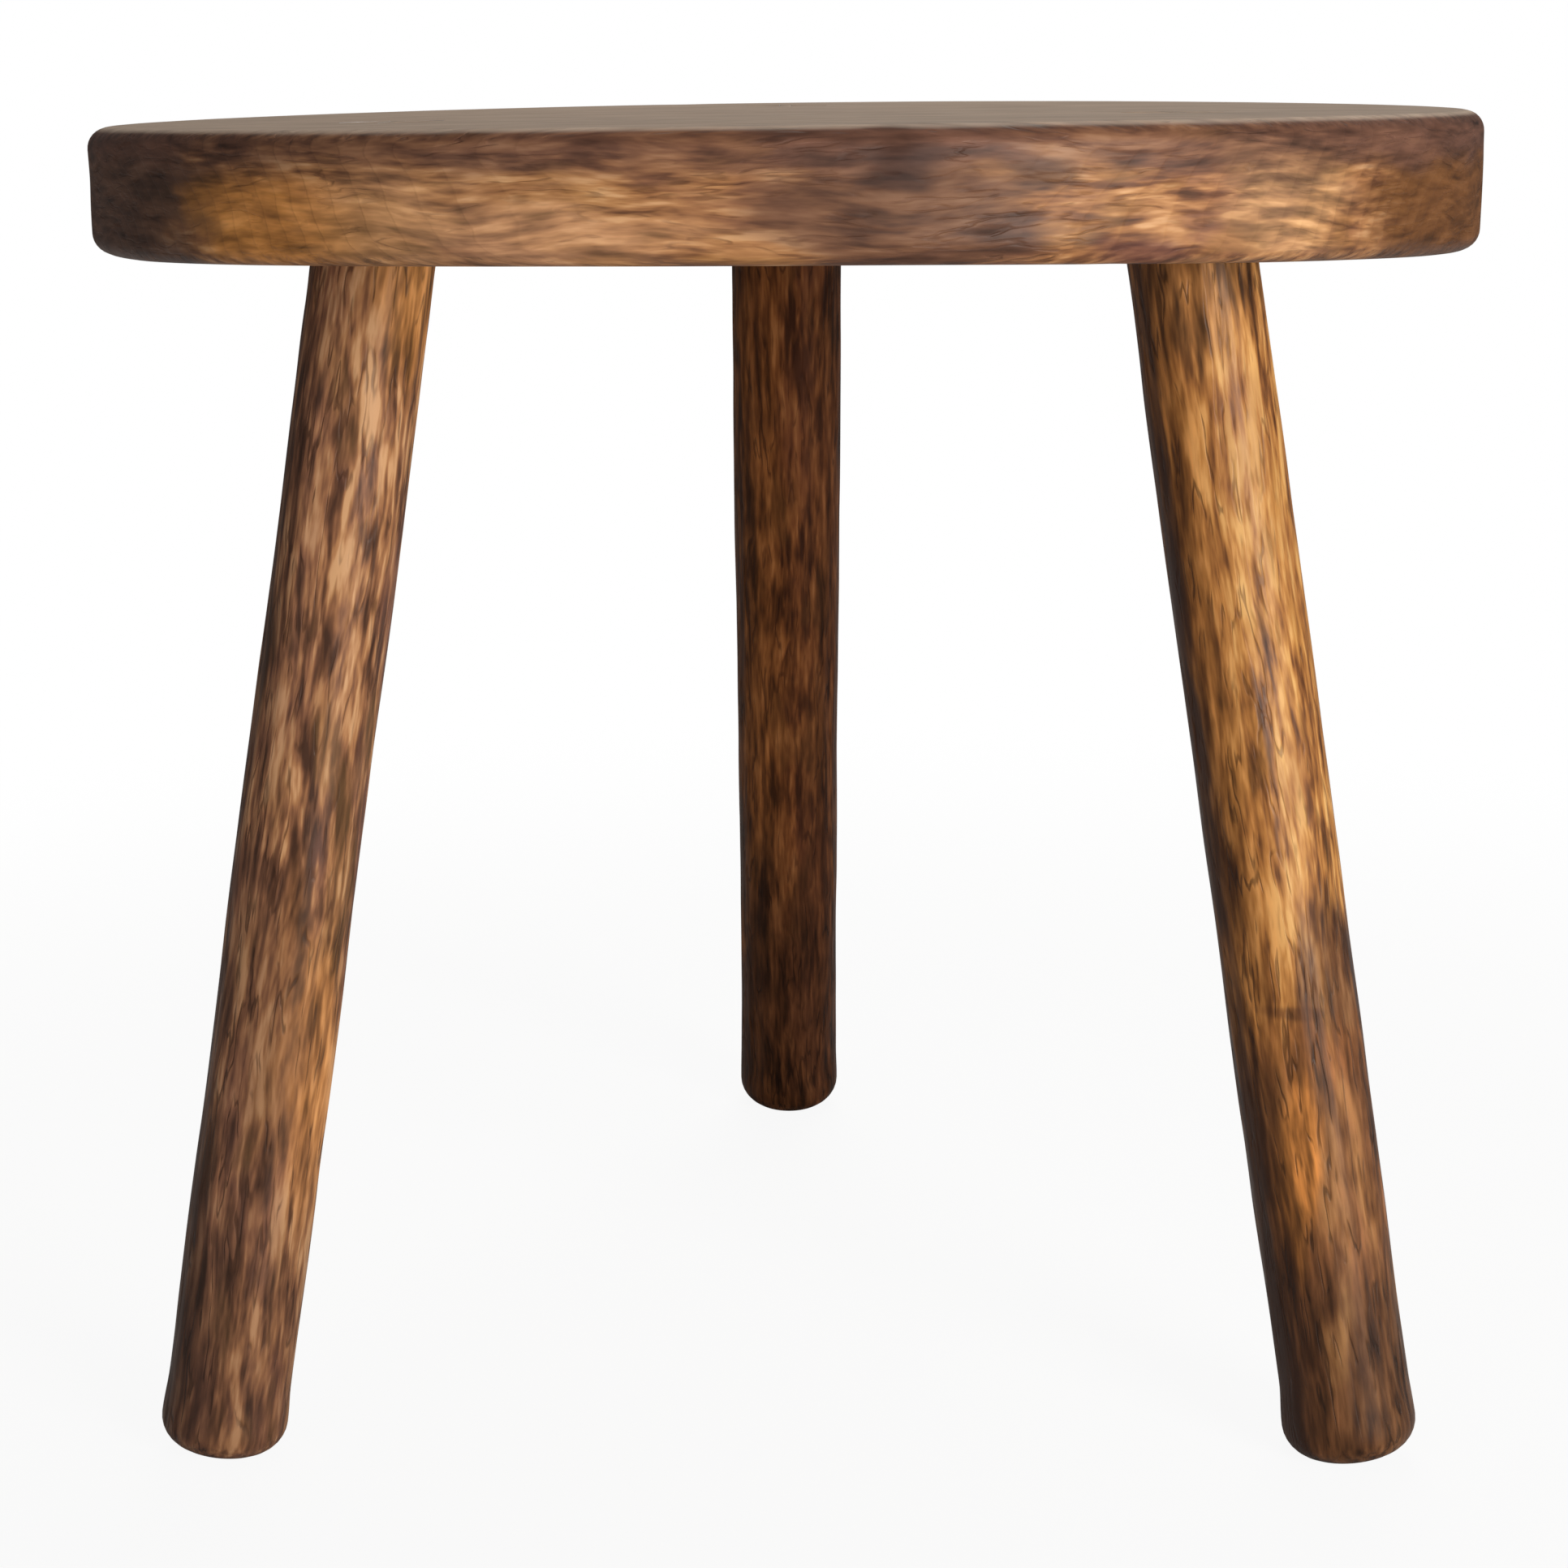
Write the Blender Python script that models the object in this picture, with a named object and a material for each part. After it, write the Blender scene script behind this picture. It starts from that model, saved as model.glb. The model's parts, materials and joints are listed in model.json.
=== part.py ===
"""A three-legged wooden milking stool, in metres, +Z up, front towards -Y.

A round plank seat, hollowed a little below, stands on three splayed round legs. Each leg has a
shoulder scribed to the underside of the seat, and goes on through the seat as a round tenon. A saw
kerf in the tenon's end holds a wedge that spreads it in its mortise, and all three pieces are pared
flush with the top. The foot of each leg is sawn square to it, with a round edge, so that it stands on
its inner side, which has worn level.
The origin is on the floor, below the middle of the seat.
"""

from __future__ import annotations

import math
from collections.abc import Callable
from dataclasses import dataclass

import bmesh
import bpy
from mathutils import Vector

# Seat
SEAT_DIAMETER = 0.320
SEAT_HEIGHT = 0.3004  # floor to the middle of the top
SEAT_THICKNESS = 0.0254  # at the middle
SEAT_FALL = 0.0028  # how much lower the top is at -X than at +X
UNDERSIDE_HOLLOW = 0.0051  # how much lower the underside is at -X and +X than along the middle
SEAT_EDGE_RADIUS = 0.0048

# Legs
LEG_CIRCLE_AT_SEAT = 0.105  # radius of the circle through the leg axes at the underside
LEG_FOOT_EDGE_RADIUS = 0.0070
LEG_FOOT_WEAR = 0.0004  # how much of its low inner side has worn away
TENON_DIAMETER = 0.022

# Wedges, measured along the tenon's axis and across it
WEDGE_DEPTH = 0.016
WEDGE_TOP_THICKNESS = 0.0032
WEDGE_TIP_THICKNESS = 0.0010

# Fits
JOINT_CLEARANCE = 0.0003  # between any two pieces that meet
KERF_SPARE_DEPTH = 0.003  # how far the saw kerf runs on below the wedge's tip

# Roundness of the meshes
SEAT_SEGMENTS = 96
LEG_SEGMENTS = 48
EDGE_STEPS = 4
UNDERSIDE_RINGS = 8
SLIDE_STEPS = 8  # each one leaves under a twentieth of the error before it

UP = Vector((0.0, 0.0, 1.0))


@dataclass(frozen=True)
class LegSizes:
    """One leg: where it points and how thick it was shaved.

    Args:
        name: Ending of the names of the leg and its wedge.
        bearing: Angle from the front (-Y) towards +X, in degrees.
        foot_circle: Distance of the leg's axis from the stool's middle, on the floor.
        shoulder_diameter: Thickness just below the seat.
        foot_diameter: Thickness at the floor.
    """

    name: str
    bearing: float
    foot_circle: float
    shoulder_diameter: float
    foot_diameter: float


LEGS = (
    LegSizes("front_left", -58.1, 0.1556, 0.0276, 0.0291),
    LegSizes("front_right", 56.4, 0.1557, 0.0289, 0.0307),
    LegSizes("back", 180.0, 0.1500, 0.0308, 0.0298),
)

UNDERSIDE = SEAT_HEIGHT - SEAT_THICKNESS
TOP_SLOPE = SEAT_FALL / SEAT_DIAMETER


def seat_top_at(x: float) -> float:
    """Returns the height of the seat's top face above the point at this X."""
    return SEAT_HEIGHT + TOP_SLOPE * x


def underside_at(x: float) -> float:
    """Returns the height of the seat's hollowed underside above the point at this X."""
    return UNDERSIDE - UNDERSIDE_HOLLOW * (x / (SEAT_DIAMETER / 2)) ** 2


def shoulder_at(x: float) -> float:
    """Returns the height of a leg's shoulder, just clear of the underside."""
    return underside_at(x) - JOINT_CLEARANCE


def clear_scene() -> None:
    """Removes every object that the new file starts with."""
    for obj in list(bpy.data.objects):
        bpy.data.objects.remove(obj, do_unlink=True)


def make_material(name: str, colour: tuple[float, float, float], roughness: float) -> bpy.types.Material:
    """Returns a plain Principled material, for one piece of wood."""
    material = bpy.data.materials.new(name)
    material.use_nodes = True
    shader = material.node_tree.nodes["Principled BSDF"]
    shader.inputs["Base Color"].default_value = (*colour, 1.0)
    shader.inputs["Roughness"].default_value = roughness
    shader.inputs["Metallic"].default_value = 0.0
    return material


def add_object(name: str, shape: bmesh.types.BMesh, material: bpy.types.Material | None) -> bpy.types.Object:
    """Turns a finished bmesh into a named object with smooth round faces."""
    bmesh.ops.recalc_face_normals(shape, faces=shape.faces)
    mesh = bpy.data.meshes.new(name)
    shape.to_mesh(mesh)
    shape.free()
    mesh.shade_smooth()
    mesh.set_sharp_from_angle(angle=math.radians(32.0))
    if material is not None:
        mesh.materials.append(material)
    obj = bpy.data.objects.new(name, mesh)
    bpy.context.scene.collection.objects.link(obj)
    return obj


def skin_rings(rings: list[list[Vector]]) -> bmesh.types.BMesh:
    """Returns a closed skin over rings of equally many points, capped flat at both ends."""
    skin = bmesh.new()
    loops = [[skin.verts.new(point) for point in ring] for ring in rings]
    count = len(loops[0])
    for lower, upper in zip(loops, loops[1:]):
        for index in range(count):
            following = (index + 1) % count
            skin.faces.new((lower[index], lower[following], upper[following], upper[index]))
    skin.faces.new(list(reversed(loops[0])))
    skin.faces.new(loops[-1])
    return skin


def cut(target: bpy.types.Object, cutter: bpy.types.Object) -> None:
    """Takes a hidden cutter away from a piece with a Boolean that stays on it."""
    cutter.hide_render = True
    cutter.display_type = "WIRE"
    difference = target.modifiers.new("cut_" + cutter.name, "BOOLEAN")
    difference.operation = "DIFFERENCE"
    difference.solver = "EXACT"
    difference.object = cutter


def seat_profile() -> list[tuple[float, float]]:
    """Returns (radius, share of the thickness) over the underside and round both edges to the top."""
    radius = SEAT_DIAMETER / 2
    share = SEAT_EDGE_RADIUS / SEAT_THICKNESS
    underside_radius = radius - SEAT_EDGE_RADIUS
    underside = [(underside_radius * ring / UNDERSIDE_RINGS, 0.0) for ring in range(1, UNDERSIDE_RINGS)]
    profile = []
    for step in range(EDGE_STEPS + 1):
        angle = step / EDGE_STEPS * math.pi / 2
        inset = SEAT_EDGE_RADIUS * (1 - math.sin(angle))
        profile.append((radius - inset, share * (1 - math.cos(angle))))
    rising = list(reversed([(ring_radius, 1 - height) for ring_radius, height in profile]))
    return underside + profile + rising


def make_seat(material: bpy.types.Material) -> bpy.types.Object:
    """Builds the round plank: its flat top leans from +X down to -X, and its underside is hollow."""
    rings = []
    for ring_radius, share in seat_profile():
        ring = []
        for segment in range(SEAT_SEGMENTS):
            angle = 2 * math.pi * segment / SEAT_SEGMENTS
            x = ring_radius * math.cos(angle)
            height = underside_at(x) + share * (seat_top_at(x) - underside_at(x))
            ring.append(Vector((x, ring_radius * math.sin(angle), height)))
        rings.append(ring)
    return add_object("seat", skin_rings(rings), material)


class LegLine:
    """The slanted centre line of a leg, from the floor up through the seat."""

    def __init__(self, sizes: LegSizes) -> None:
        bearing = math.radians(sizes.bearing)
        outward = Vector((math.sin(bearing), -math.cos(bearing), 0.0))
        self.sizes = sizes
        self.foot = outward * sizes.foot_circle
        self.at_seat = outward * LEG_CIRCLE_AT_SEAT + UP * UNDERSIDE
        self.direction = (self.at_seat - self.foot).normalized()
        # The kerf runs front to back, square to the leg, so that a wedge never splits the seat's grain.
        front_to_back = Vector((0.0, 1.0, 0.0))
        self.along_kerf = (front_to_back - self.direction * front_to_back.dot(self.direction)).normalized()
        self.across_kerf = self.along_kerf.cross(self.direction)

    def radial(self, angle: float) -> Vector:
        """Returns the unit vector square to the leg at this angle around it."""
        return self.across_kerf * math.cos(angle) + self.along_kerf * math.sin(angle)

    def shaft_radius(self, height: float) -> float:
        """Returns the shaved radius of the leg where its axis is this high."""
        foot = self.sizes.foot_diameter / 2
        shoulder = self.sizes.shoulder_diameter / 2
        return foot + (shoulder - foot) * height / UNDERSIDE

    def sole_distance(self) -> float:
        """Returns how far up the axis the sole lies, so that only its worn inner side meets the floor."""
        lean = math.sqrt(1 - self.direction.z**2)
        flat = self.sizes.foot_diameter / 2 - LEG_FOOT_EDGE_RADIUS
        lowest = flat * lean + LEG_FOOT_EDGE_RADIUS * (1 - self.direction.z)
        return (lowest - LEG_FOOT_WEAR) / self.direction.z

    def fitted_ring(self, surface: Callable[[float], float], radius: float) -> list[Vector]:
        """Returns a ring around the leg that lies in a surface, given as its height at each X."""
        centre = slide_to(surface, self.foot, self.direction)
        return [slide_to(surface, point, self.direction) for point in self.square_ring(centre, radius)]

    def square_ring(self, centre: Vector, radius: float) -> list[Vector]:
        """Returns a round ring square to the leg's axis."""
        angles = [2 * math.pi * segment / LEG_SEGMENTS for segment in range(LEG_SEGMENTS)]
        return [centre + self.radial(angle) * radius for angle in angles]


def slide_to(surface: Callable[[float], float], point: Vector, direction: Vector) -> Vector:
    """Returns the point moved along a direction until it meets a surface, given as its height at each X."""
    for _ in range(SLIDE_STEPS):
        point = point + direction * ((surface(point.x) - point.z) / direction.z)
    return point


def wear_level(shape: bmesh.types.BMesh) -> None:
    """Cuts off whatever reaches below the floor, and closes the cut."""
    below = (0.0, 0.0, -1.0)
    everything = shape.verts[:] + shape.edges[:] + shape.faces[:]
    bmesh.ops.bisect_plane(shape, geom=everything, dist=1e-7, plane_co=(0.0, 0.0, 0.0), plane_no=below, clear_outer=True)
    rim = [edge for edge in shape.edges if edge.is_boundary]
    for edge in rim:
        for vertex in edge.verts:
            vertex.co.z = 0.0
    bmesh.ops.holes_fill(shape, edges=rim, sides=0)
    bmesh.ops.recalc_face_normals(shape, faces=shape.faces)


def make_leg(line: LegLine, material: bpy.types.Material) -> bpy.types.Object:
    """Builds one leg: a round-edged foot, a shaved shaft, a shoulder that follows the seat and a tenon."""
    tenon_radius = TENON_DIAMETER / 2
    foot_radius = line.shaft_radius(0.0)
    rings = []
    for step in range(EDGE_STEPS + 1):
        angle = step / EDGE_STEPS * math.pi / 2
        distance = line.sole_distance() + LEG_FOOT_EDGE_RADIUS * (1 - math.cos(angle))
        inset = LEG_FOOT_EDGE_RADIUS * (1 - math.sin(angle))
        rings.append(line.square_ring(line.foot + line.direction * distance, foot_radius - inset))
    rings.append(line.fitted_ring(shoulder_at, line.shaft_radius(UNDERSIDE)))
    rings.append(line.fitted_ring(shoulder_at, tenon_radius))
    rings.append(line.fitted_ring(seat_top_at, tenon_radius))
    shape = skin_rings(rings)
    wear_level(shape)
    return add_object("leg_" + line.sizes.name, shape, material)


def cut_mortise(seat: bpy.types.Object, line: LegLine) -> None:
    """Bores the seat for one tenon, right through and with the joint clearance all round."""
    radius = TENON_DIAMETER / 2 + JOINT_CLEARANCE
    past = line.direction * TENON_DIAMETER
    below = line.square_ring(line.at_seat - past, radius)
    above = line.square_ring(slide_to(seat_top_at, line.foot, line.direction) + past, radius)
    cut(seat, add_object("mortise_" + line.sizes.name, skin_rings([below, above]), None))


def kerf_outline(line: LegLine, distance: float, half_thickness: float, half_length: float) -> list[Vector]:
    """Returns the four corners of a slot this far down the axis from the seat's top."""
    centre = slide_to(seat_top_at, line.foot, line.direction) - line.direction * distance
    corners = ((-1, -1), (1, -1), (1, 1), (-1, 1))
    return [
        centre + line.across_kerf * half_thickness * side + line.along_kerf * half_length * end
        for side, end in corners
    ]


def wedge_half_thickness(distance: float) -> float:
    """Returns half the wedge's thickness this far down the axis from the seat's top."""
    narrowing = (WEDGE_TOP_THICKNESS - WEDGE_TIP_THICKNESS) / WEDGE_DEPTH
    return (WEDGE_TOP_THICKNESS - narrowing * distance) / 2


def make_wedge(line: LegLine, material: bpy.types.Material) -> bpy.types.Object:
    """Builds the wedge, whose four top corners lie in the seat's top and on the tenon's outline."""
    half_length = math.sqrt((TENON_DIAMETER / 2) ** 2 - (WEDGE_TOP_THICKNESS / 2) ** 2)
    tip = kerf_outline(line, WEDGE_DEPTH, wedge_half_thickness(WEDGE_DEPTH), half_length)
    square_top = kerf_outline(line, 0.0, wedge_half_thickness(0.0), half_length)
    top = [slide_to(seat_top_at, high, high - low) for low, high in zip(tip, square_top)]
    return add_object("wedge_" + line.sizes.name, skin_rings([tip, top]), material)


def cut_kerf(leg: bpy.types.Object, line: LegLine) -> None:
    """Saws the kerf that the wedge was driven into."""
    reach = TENON_DIAMETER
    bottom = WEDGE_DEPTH + KERF_SPARE_DEPTH
    above = -TENON_DIAMETER / 2
    tip_half = wedge_half_thickness(WEDGE_DEPTH) + JOINT_CLEARANCE
    lower = kerf_outline(line, bottom, tip_half, reach)
    middle = kerf_outline(line, WEDGE_DEPTH, tip_half, reach)
    upper = kerf_outline(line, above, wedge_half_thickness(above) + JOINT_CLEARANCE, reach)
    cut(leg, add_object("kerf_" + line.sizes.name, skin_rings([lower, middle, upper]), None))


def main() -> None:
    """Builds the stool, piece by piece, each with its own material."""
    clear_scene()
    seat = make_seat(make_material("seat_wood", (0.30, 0.155, 0.065), 0.42))
    for sizes in LEGS:
        line = LegLine(sizes)
        leg = make_leg(line, make_material("leg_wood_" + sizes.name, (0.27, 0.125, 0.045), 0.40))
        make_wedge(line, make_material("wedge_wood_" + sizes.name, (0.20, 0.10, 0.045), 0.55))
        cut_mortise(seat, line)
        cut_kerf(leg, line)


if __name__ == "__main__":
    main()
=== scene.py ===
"""Looks of a wooden milking stool: a waxed, well worn plank seat on three shaved legs.

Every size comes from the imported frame, in metres: +Z up, the front towards -Y, and the origin on
the floor below the middle of the seat. The seat and the legs are grown by geometry node trees that
follow the CAD pieces' own centre lines and radii, and each piece wears a solid wood made of shader
maths.
"""

from __future__ import annotations

import json
import logging
import math
from collections.abc import Callable
from dataclasses import dataclass
from enum import Enum
from typing import Any, Union

import bmesh
import bpy
from mathutils import Euler, Matrix, Vector

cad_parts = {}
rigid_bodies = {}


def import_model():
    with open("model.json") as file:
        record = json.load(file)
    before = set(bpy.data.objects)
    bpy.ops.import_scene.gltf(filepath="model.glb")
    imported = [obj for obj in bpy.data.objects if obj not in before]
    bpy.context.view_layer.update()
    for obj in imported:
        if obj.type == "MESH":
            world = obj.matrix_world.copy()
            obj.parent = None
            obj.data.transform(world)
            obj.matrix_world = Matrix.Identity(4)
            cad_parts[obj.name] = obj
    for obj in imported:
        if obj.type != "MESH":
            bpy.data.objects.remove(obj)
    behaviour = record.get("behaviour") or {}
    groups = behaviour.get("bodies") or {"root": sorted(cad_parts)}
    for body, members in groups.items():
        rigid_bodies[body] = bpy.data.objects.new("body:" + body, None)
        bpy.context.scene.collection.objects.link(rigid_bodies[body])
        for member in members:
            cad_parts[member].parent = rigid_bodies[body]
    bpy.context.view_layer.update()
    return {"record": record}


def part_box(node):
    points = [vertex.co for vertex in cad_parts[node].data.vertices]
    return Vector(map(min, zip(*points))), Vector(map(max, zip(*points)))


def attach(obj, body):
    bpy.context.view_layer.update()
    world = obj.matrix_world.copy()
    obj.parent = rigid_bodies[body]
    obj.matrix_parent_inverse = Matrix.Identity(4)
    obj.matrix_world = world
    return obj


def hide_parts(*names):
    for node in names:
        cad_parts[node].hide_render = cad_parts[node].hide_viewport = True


log = logging.getLogger("milking_stool")

Colour = tuple[float, float, float]
SocketKey = Union[str, int]

UP = Vector((0.0, 0.0, 1.0))
QUARTER_TURN = math.pi / 2
OFF_FLOOR = 0.000001  # keeps rounding errors from putting a foot under the floor
WORN_OFF = 0.00015  # how far a round surface lies inside its CAD node, so that it stays in the box
FULL_TURN = 2 * math.pi
MORTISE_SIDES = 64
SCRIBE_STEPS = 3
FLOOR_REACH = 12.0
FLOOR_PAINT = (0.8, 0.8, 0.8)
WHITE = (1.0, 1.0, 1.0)
SLIDE_STEPS = 8  # each one leaves a small share of the error before it
MERGE_DISTANCE = 0.000002
FLUSH_DISTANCE = 0.00002
LOW_SHARE = 0.1  # of the underside's height: where a leg's foot is looked for
HIGH_SHARE = 0.8  # and its shoulder
SEAT_EDGE_ANGLE = 34.0
LEG_EDGE_ANGLE = 38.0
WEDGE_EDGE_ANGLE = 40.0
NOISE_MEAN = 0.5


# ---- Node trees written as expressions ----


def two_sided(operation: str, swapped: bool = False) -> Callable[[Field, Operand], Field]:
    """Makes one of Field's operators.

    Args:
        operation: The operation of the node that it adds.
        swapped: Whether the field is the right operand.

    Returns:
        The method.
    """

    def method(field: Field, other: Operand) -> Field:
        """Combines the field with the other operand."""
        return field.bench.combine(operation, *((other, field) if swapped else (field, other)))

    return method


class Field:
    """A number or a vector that flows through a node tree.

    Python's operators add the Math or Vector Math node that combines two fields.
    """

    def __init__(self, bench: Bench, socket: bpy.types.NodeSocket) -> None:
        """Wraps an output socket of the bench's tree."""
        self.bench = bench
        self.socket = socket

    @property
    def is_vector(self) -> bool:
        """Whether this field holds three numbers."""
        return self.socket.type in {"VECTOR", "RGBA", "ROTATION"}

    __add__, __radd__ = two_sided("ADD"), two_sided("ADD", swapped=True)
    __sub__, __rsub__ = two_sided("SUBTRACT"), two_sided("SUBTRACT", swapped=True)
    __mul__, __rmul__ = two_sided("MULTIPLY"), two_sided("MULTIPLY", swapped=True)
    __truediv__, __rtruediv__ = two_sided("DIVIDE"), two_sided("DIVIDE", swapped=True)
    __pow__ = two_sided("POWER")

    def __neg__(self) -> Field:
        """Turns the sign round."""
        return self.bench.combine("MULTIPLY", self, -1.0)

    def apply(self, operation: str) -> Field:
        """Returns a one-sided Math operation on this field, such as SINE or FRACT."""
        return self.bench.output("ShaderNodeMath", {"operation": operation}, {0: self})

    def clamp(self) -> Field:
        """Returns this field held between 0 and 1."""
        settings = {"operation": "ADD", "use_clamp": True}
        return self.bench.output("ShaderNodeMath", settings, {0: self, 1: 0.0})

    def ramp(self, low: float, high: float) -> Field:
        """Returns a smooth step that is 0 where the field is at low and 1 where it is at high."""
        settings = {"interpolation_type": "SMOOTHSTEP", "clamp": True}
        sockets = {"Value": self, "From Min": low, "From Max": high, "To Min": 0.0, "To Max": 1.0}
        return self.bench.output("ShaderNodeMapRange", settings, sockets)

    def dot(self, other: Operand) -> Field:
        """Returns the dot product with another vector."""
        settings = {"operation": "DOT_PRODUCT"}
        return self.bench.output("ShaderNodeVectorMath", settings, {0: self, 1: other}, "Value")

    def length(self) -> Field:
        """Returns the length of this vector."""
        settings = {"operation": "LENGTH"}
        return self.bench.output("ShaderNodeVectorMath", settings, {0: self}, "Value")

    def part(self, axis: str) -> Field:
        """Returns the X, Y or Z of this vector."""
        return self.bench.output("ShaderNodeSeparateXYZ", {}, {0: self}, axis)


Operand = Union[Field, float, int, Vector, tuple]


class Bench:
    """Adds nodes to one node tree, for materials and for geometry alike."""

    def __init__(self, tree: bpy.types.NodeTree) -> None:
        """Starts on an empty shader or geometry tree."""
        self.tree = tree

    @staticmethod
    def find(sockets: Any, key: SocketKey) -> bpy.types.NodeSocket:
        """Finds a socket by its number, its identifier or its name.

        Args:
            sockets: A node's inputs or outputs.
            key: Number, identifier or name.

        Returns:
            The first enabled socket that fits.
        """
        if isinstance(key, int):
            return sockets[key]
        exact = [socket for socket in sockets if socket.identifier == key and socket.enabled]
        named = [socket for socket in sockets if socket.name == key and socket.enabled]
        return (exact + named)[0]

    def node(
        self,
        kind: str,
        settings: dict[str, Any] | None = None,
        sockets: dict[SocketKey, Any] | None = None,
    ) -> bpy.types.Node:
        """Adds any node.

        Args:
            kind: The node's type.
            settings: Its own settings, set first. A ramp's "stops" are (place, colour) pairs.
            sockets: Values or links for its inputs.

        Returns:
            The new node.
        """
        made = self.tree.nodes.new(kind)
        for name, value in (settings or {}).items():
            if name == "stops":
                self.set_stops(made.color_ramp, value)
            else:
                setattr(made, name, value)
        for key, value in (sockets or {}).items():
            target = self.find(made.inputs, key)
            if isinstance(value, Field):
                self.tree.links.new(value.socket, target)
            elif isinstance(value, bpy.types.NodeSocket):
                self.tree.links.new(value, target)
            elif target.type == "RGBA" and len(value) == 3:
                target.default_value = (*value, 1.0)
            else:
                target.default_value = value
        return made

    @staticmethod
    def set_stops(ramp: bpy.types.ColorRamp, stops: list[tuple[float, Colour]]) -> None:
        """Sets a colour ramp's stops.

        Args:
            ramp: The ramp, which starts with two stops.
            stops: Place from 0 to 1, and colour, of each stop.
        """
        while len(ramp.elements) < len(stops):
            ramp.elements.new(0.5)
        for element, (place, colour) in zip(ramp.elements, stops):
            element.position = place
            element.color = (*colour, 1.0)

    def output(
        self,
        kind: str,
        settings: dict[str, Any] | None = None,
        sockets: dict[SocketKey, Any] | None = None,
        result: SocketKey = 0,
    ) -> Field:
        """Adds a node, as node() does, and returns one of its outputs as a field."""
        made = self.node(kind, settings, sockets)
        return Field(self, self.find(made.outputs, result))

    def combine(self, operation: str, first: Operand, second: Operand) -> Field:
        """Combines two operands with a Math or a Vector Math node.

        Args:
            operation: The node's operation.
            first: The left operand.
            second: The right operand.

        Returns:
            The result, a vector where either operand is one.
        """
        kinds = [self.holds_vector(first), self.holds_vector(second)]
        if not any(kinds):
            return self.output("ShaderNodeMath", {"operation": operation}, {0: first, 1: second})
        if all(kinds):
            sockets = {0: first, 1: second}
            return self.output("ShaderNodeVectorMath", {"operation": operation}, sockets)
        vector, number = (first, second) if kinds[0] else (second, first)
        if operation == "MULTIPLY":
            sockets = {0: vector, "Scale": number}
            return self.output("ShaderNodeVectorMath", {"operation": "SCALE"}, sockets)
        raise TypeError(f"{operation} of a vector and a number")

    @staticmethod
    def holds_vector(operand: Operand) -> bool:
        """Whether an operand is a vector."""
        if isinstance(operand, Field):
            return operand.is_vector
        return not isinstance(operand, (int, float))

    def vector(self, x: Operand, y: Operand, z: Operand) -> Field:
        """Joins three numbers into a vector."""
        return self.output("ShaderNodeCombineXYZ", {}, {0: x, 1: y, 2: z})

    def noise(self, place: Field, detail: float, result: SocketKey = 0) -> Field:
        """Returns noise around NOISE_MEAN: one number, or three of them as result 1."""
        sockets = {"Vector": place, "Scale": 1.0, "Detail": detail}
        return self.output("ShaderNodeTexNoise", {}, sockets, result)

    def blend(self, factor: Operand, first: Operand, second: Operand) -> Field:
        """Blends two colours: factor 0 gives the first and 1 the second."""
        sockets = {"Factor_Float": factor, "A_Color": first, "B_Color": second}
        return self.output("ShaderNodeMix", {"data_type": "RGBA"}, sockets, "Result_Color")


# ---- What the frame says ----


class LegName(Enum):
    """The three legs, by the ending of their nodes' names."""

    FRONT_LEFT = "front_left"
    FRONT_RIGHT = "front_right"
    BACK = "back"


@dataclass(frozen=True)
class SeatFaces:
    """The seat's top and underside. The sizes are plain numbers, or fields of a node tree.

    Args:
        radius: Half the seat's width.
        underside: Height of the underside along the middle.
        hollow: How much lower the underside is at -X and +X.
        height: Height of the middle of the top.
        slope: How much the top rises for each metre towards +X.
        crown: How far the top is worn down at -X and +X.
    """

    radius: Operand
    underside: Operand
    hollow: Operand
    height: Operand
    slope: Operand
    crown: Operand

    def top(self, x: Operand) -> Operand:
        """Returns the top's height at this X."""
        share = x / self.radius
        return self.height + self.slope * x - self.crown * (share * share)

    def bottom(self, x: Operand) -> Operand:
        """Returns the underside's height at this X."""
        share = x / self.radius
        return self.underside - self.hollow * (share * share)

    @classmethod
    def from_frame(cls, record: dict[str, Any], crown: float) -> SeatFaces:
        """Measures the seat's node and reads the mount on its top.

        Args:
            record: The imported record.
            crown: How far the top is worn down at -X and +X.

        Returns:
            The seat's sizes, as plain numbers.
        """
        low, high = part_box("seat")
        radius = (high.x - low.x) / 2
        mount = next(mount for mount in record["mounts"] if mount["name"] == "seat_top")
        across, _, upward = mount["axis"]
        height = mount["pos_m"][2]
        points = [vertex.co for vertex in bpy.data.objects["seat"].data.vertices]
        halfway = (height + low.z) / 2
        inner = [point for point in points if point.z < halfway and abs(point.y) < 0.8 * radius]
        underside = max(point.z for point in inner if abs(point.x) < 0.01 * radius)
        lowest = min(points, key=lambda point: point.z)
        hollow = (underside - lowest.z) * (radius / lowest.x) ** 2
        return cls(radius, underside, hollow, height, -across / upward, crown)

    def slide_to_top(self, point: Vector, direction: Vector) -> Vector:
        """Moves a point along a direction until it meets the top.

        Args:
            point: Any point.
            direction: Which way it slides.

        Returns:
            Where it meets the top.
        """
        for _ in range(SLIDE_STEPS):
            point = point + direction * ((self.top(point.x) - point.z) / direction.z)
        return point


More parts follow.
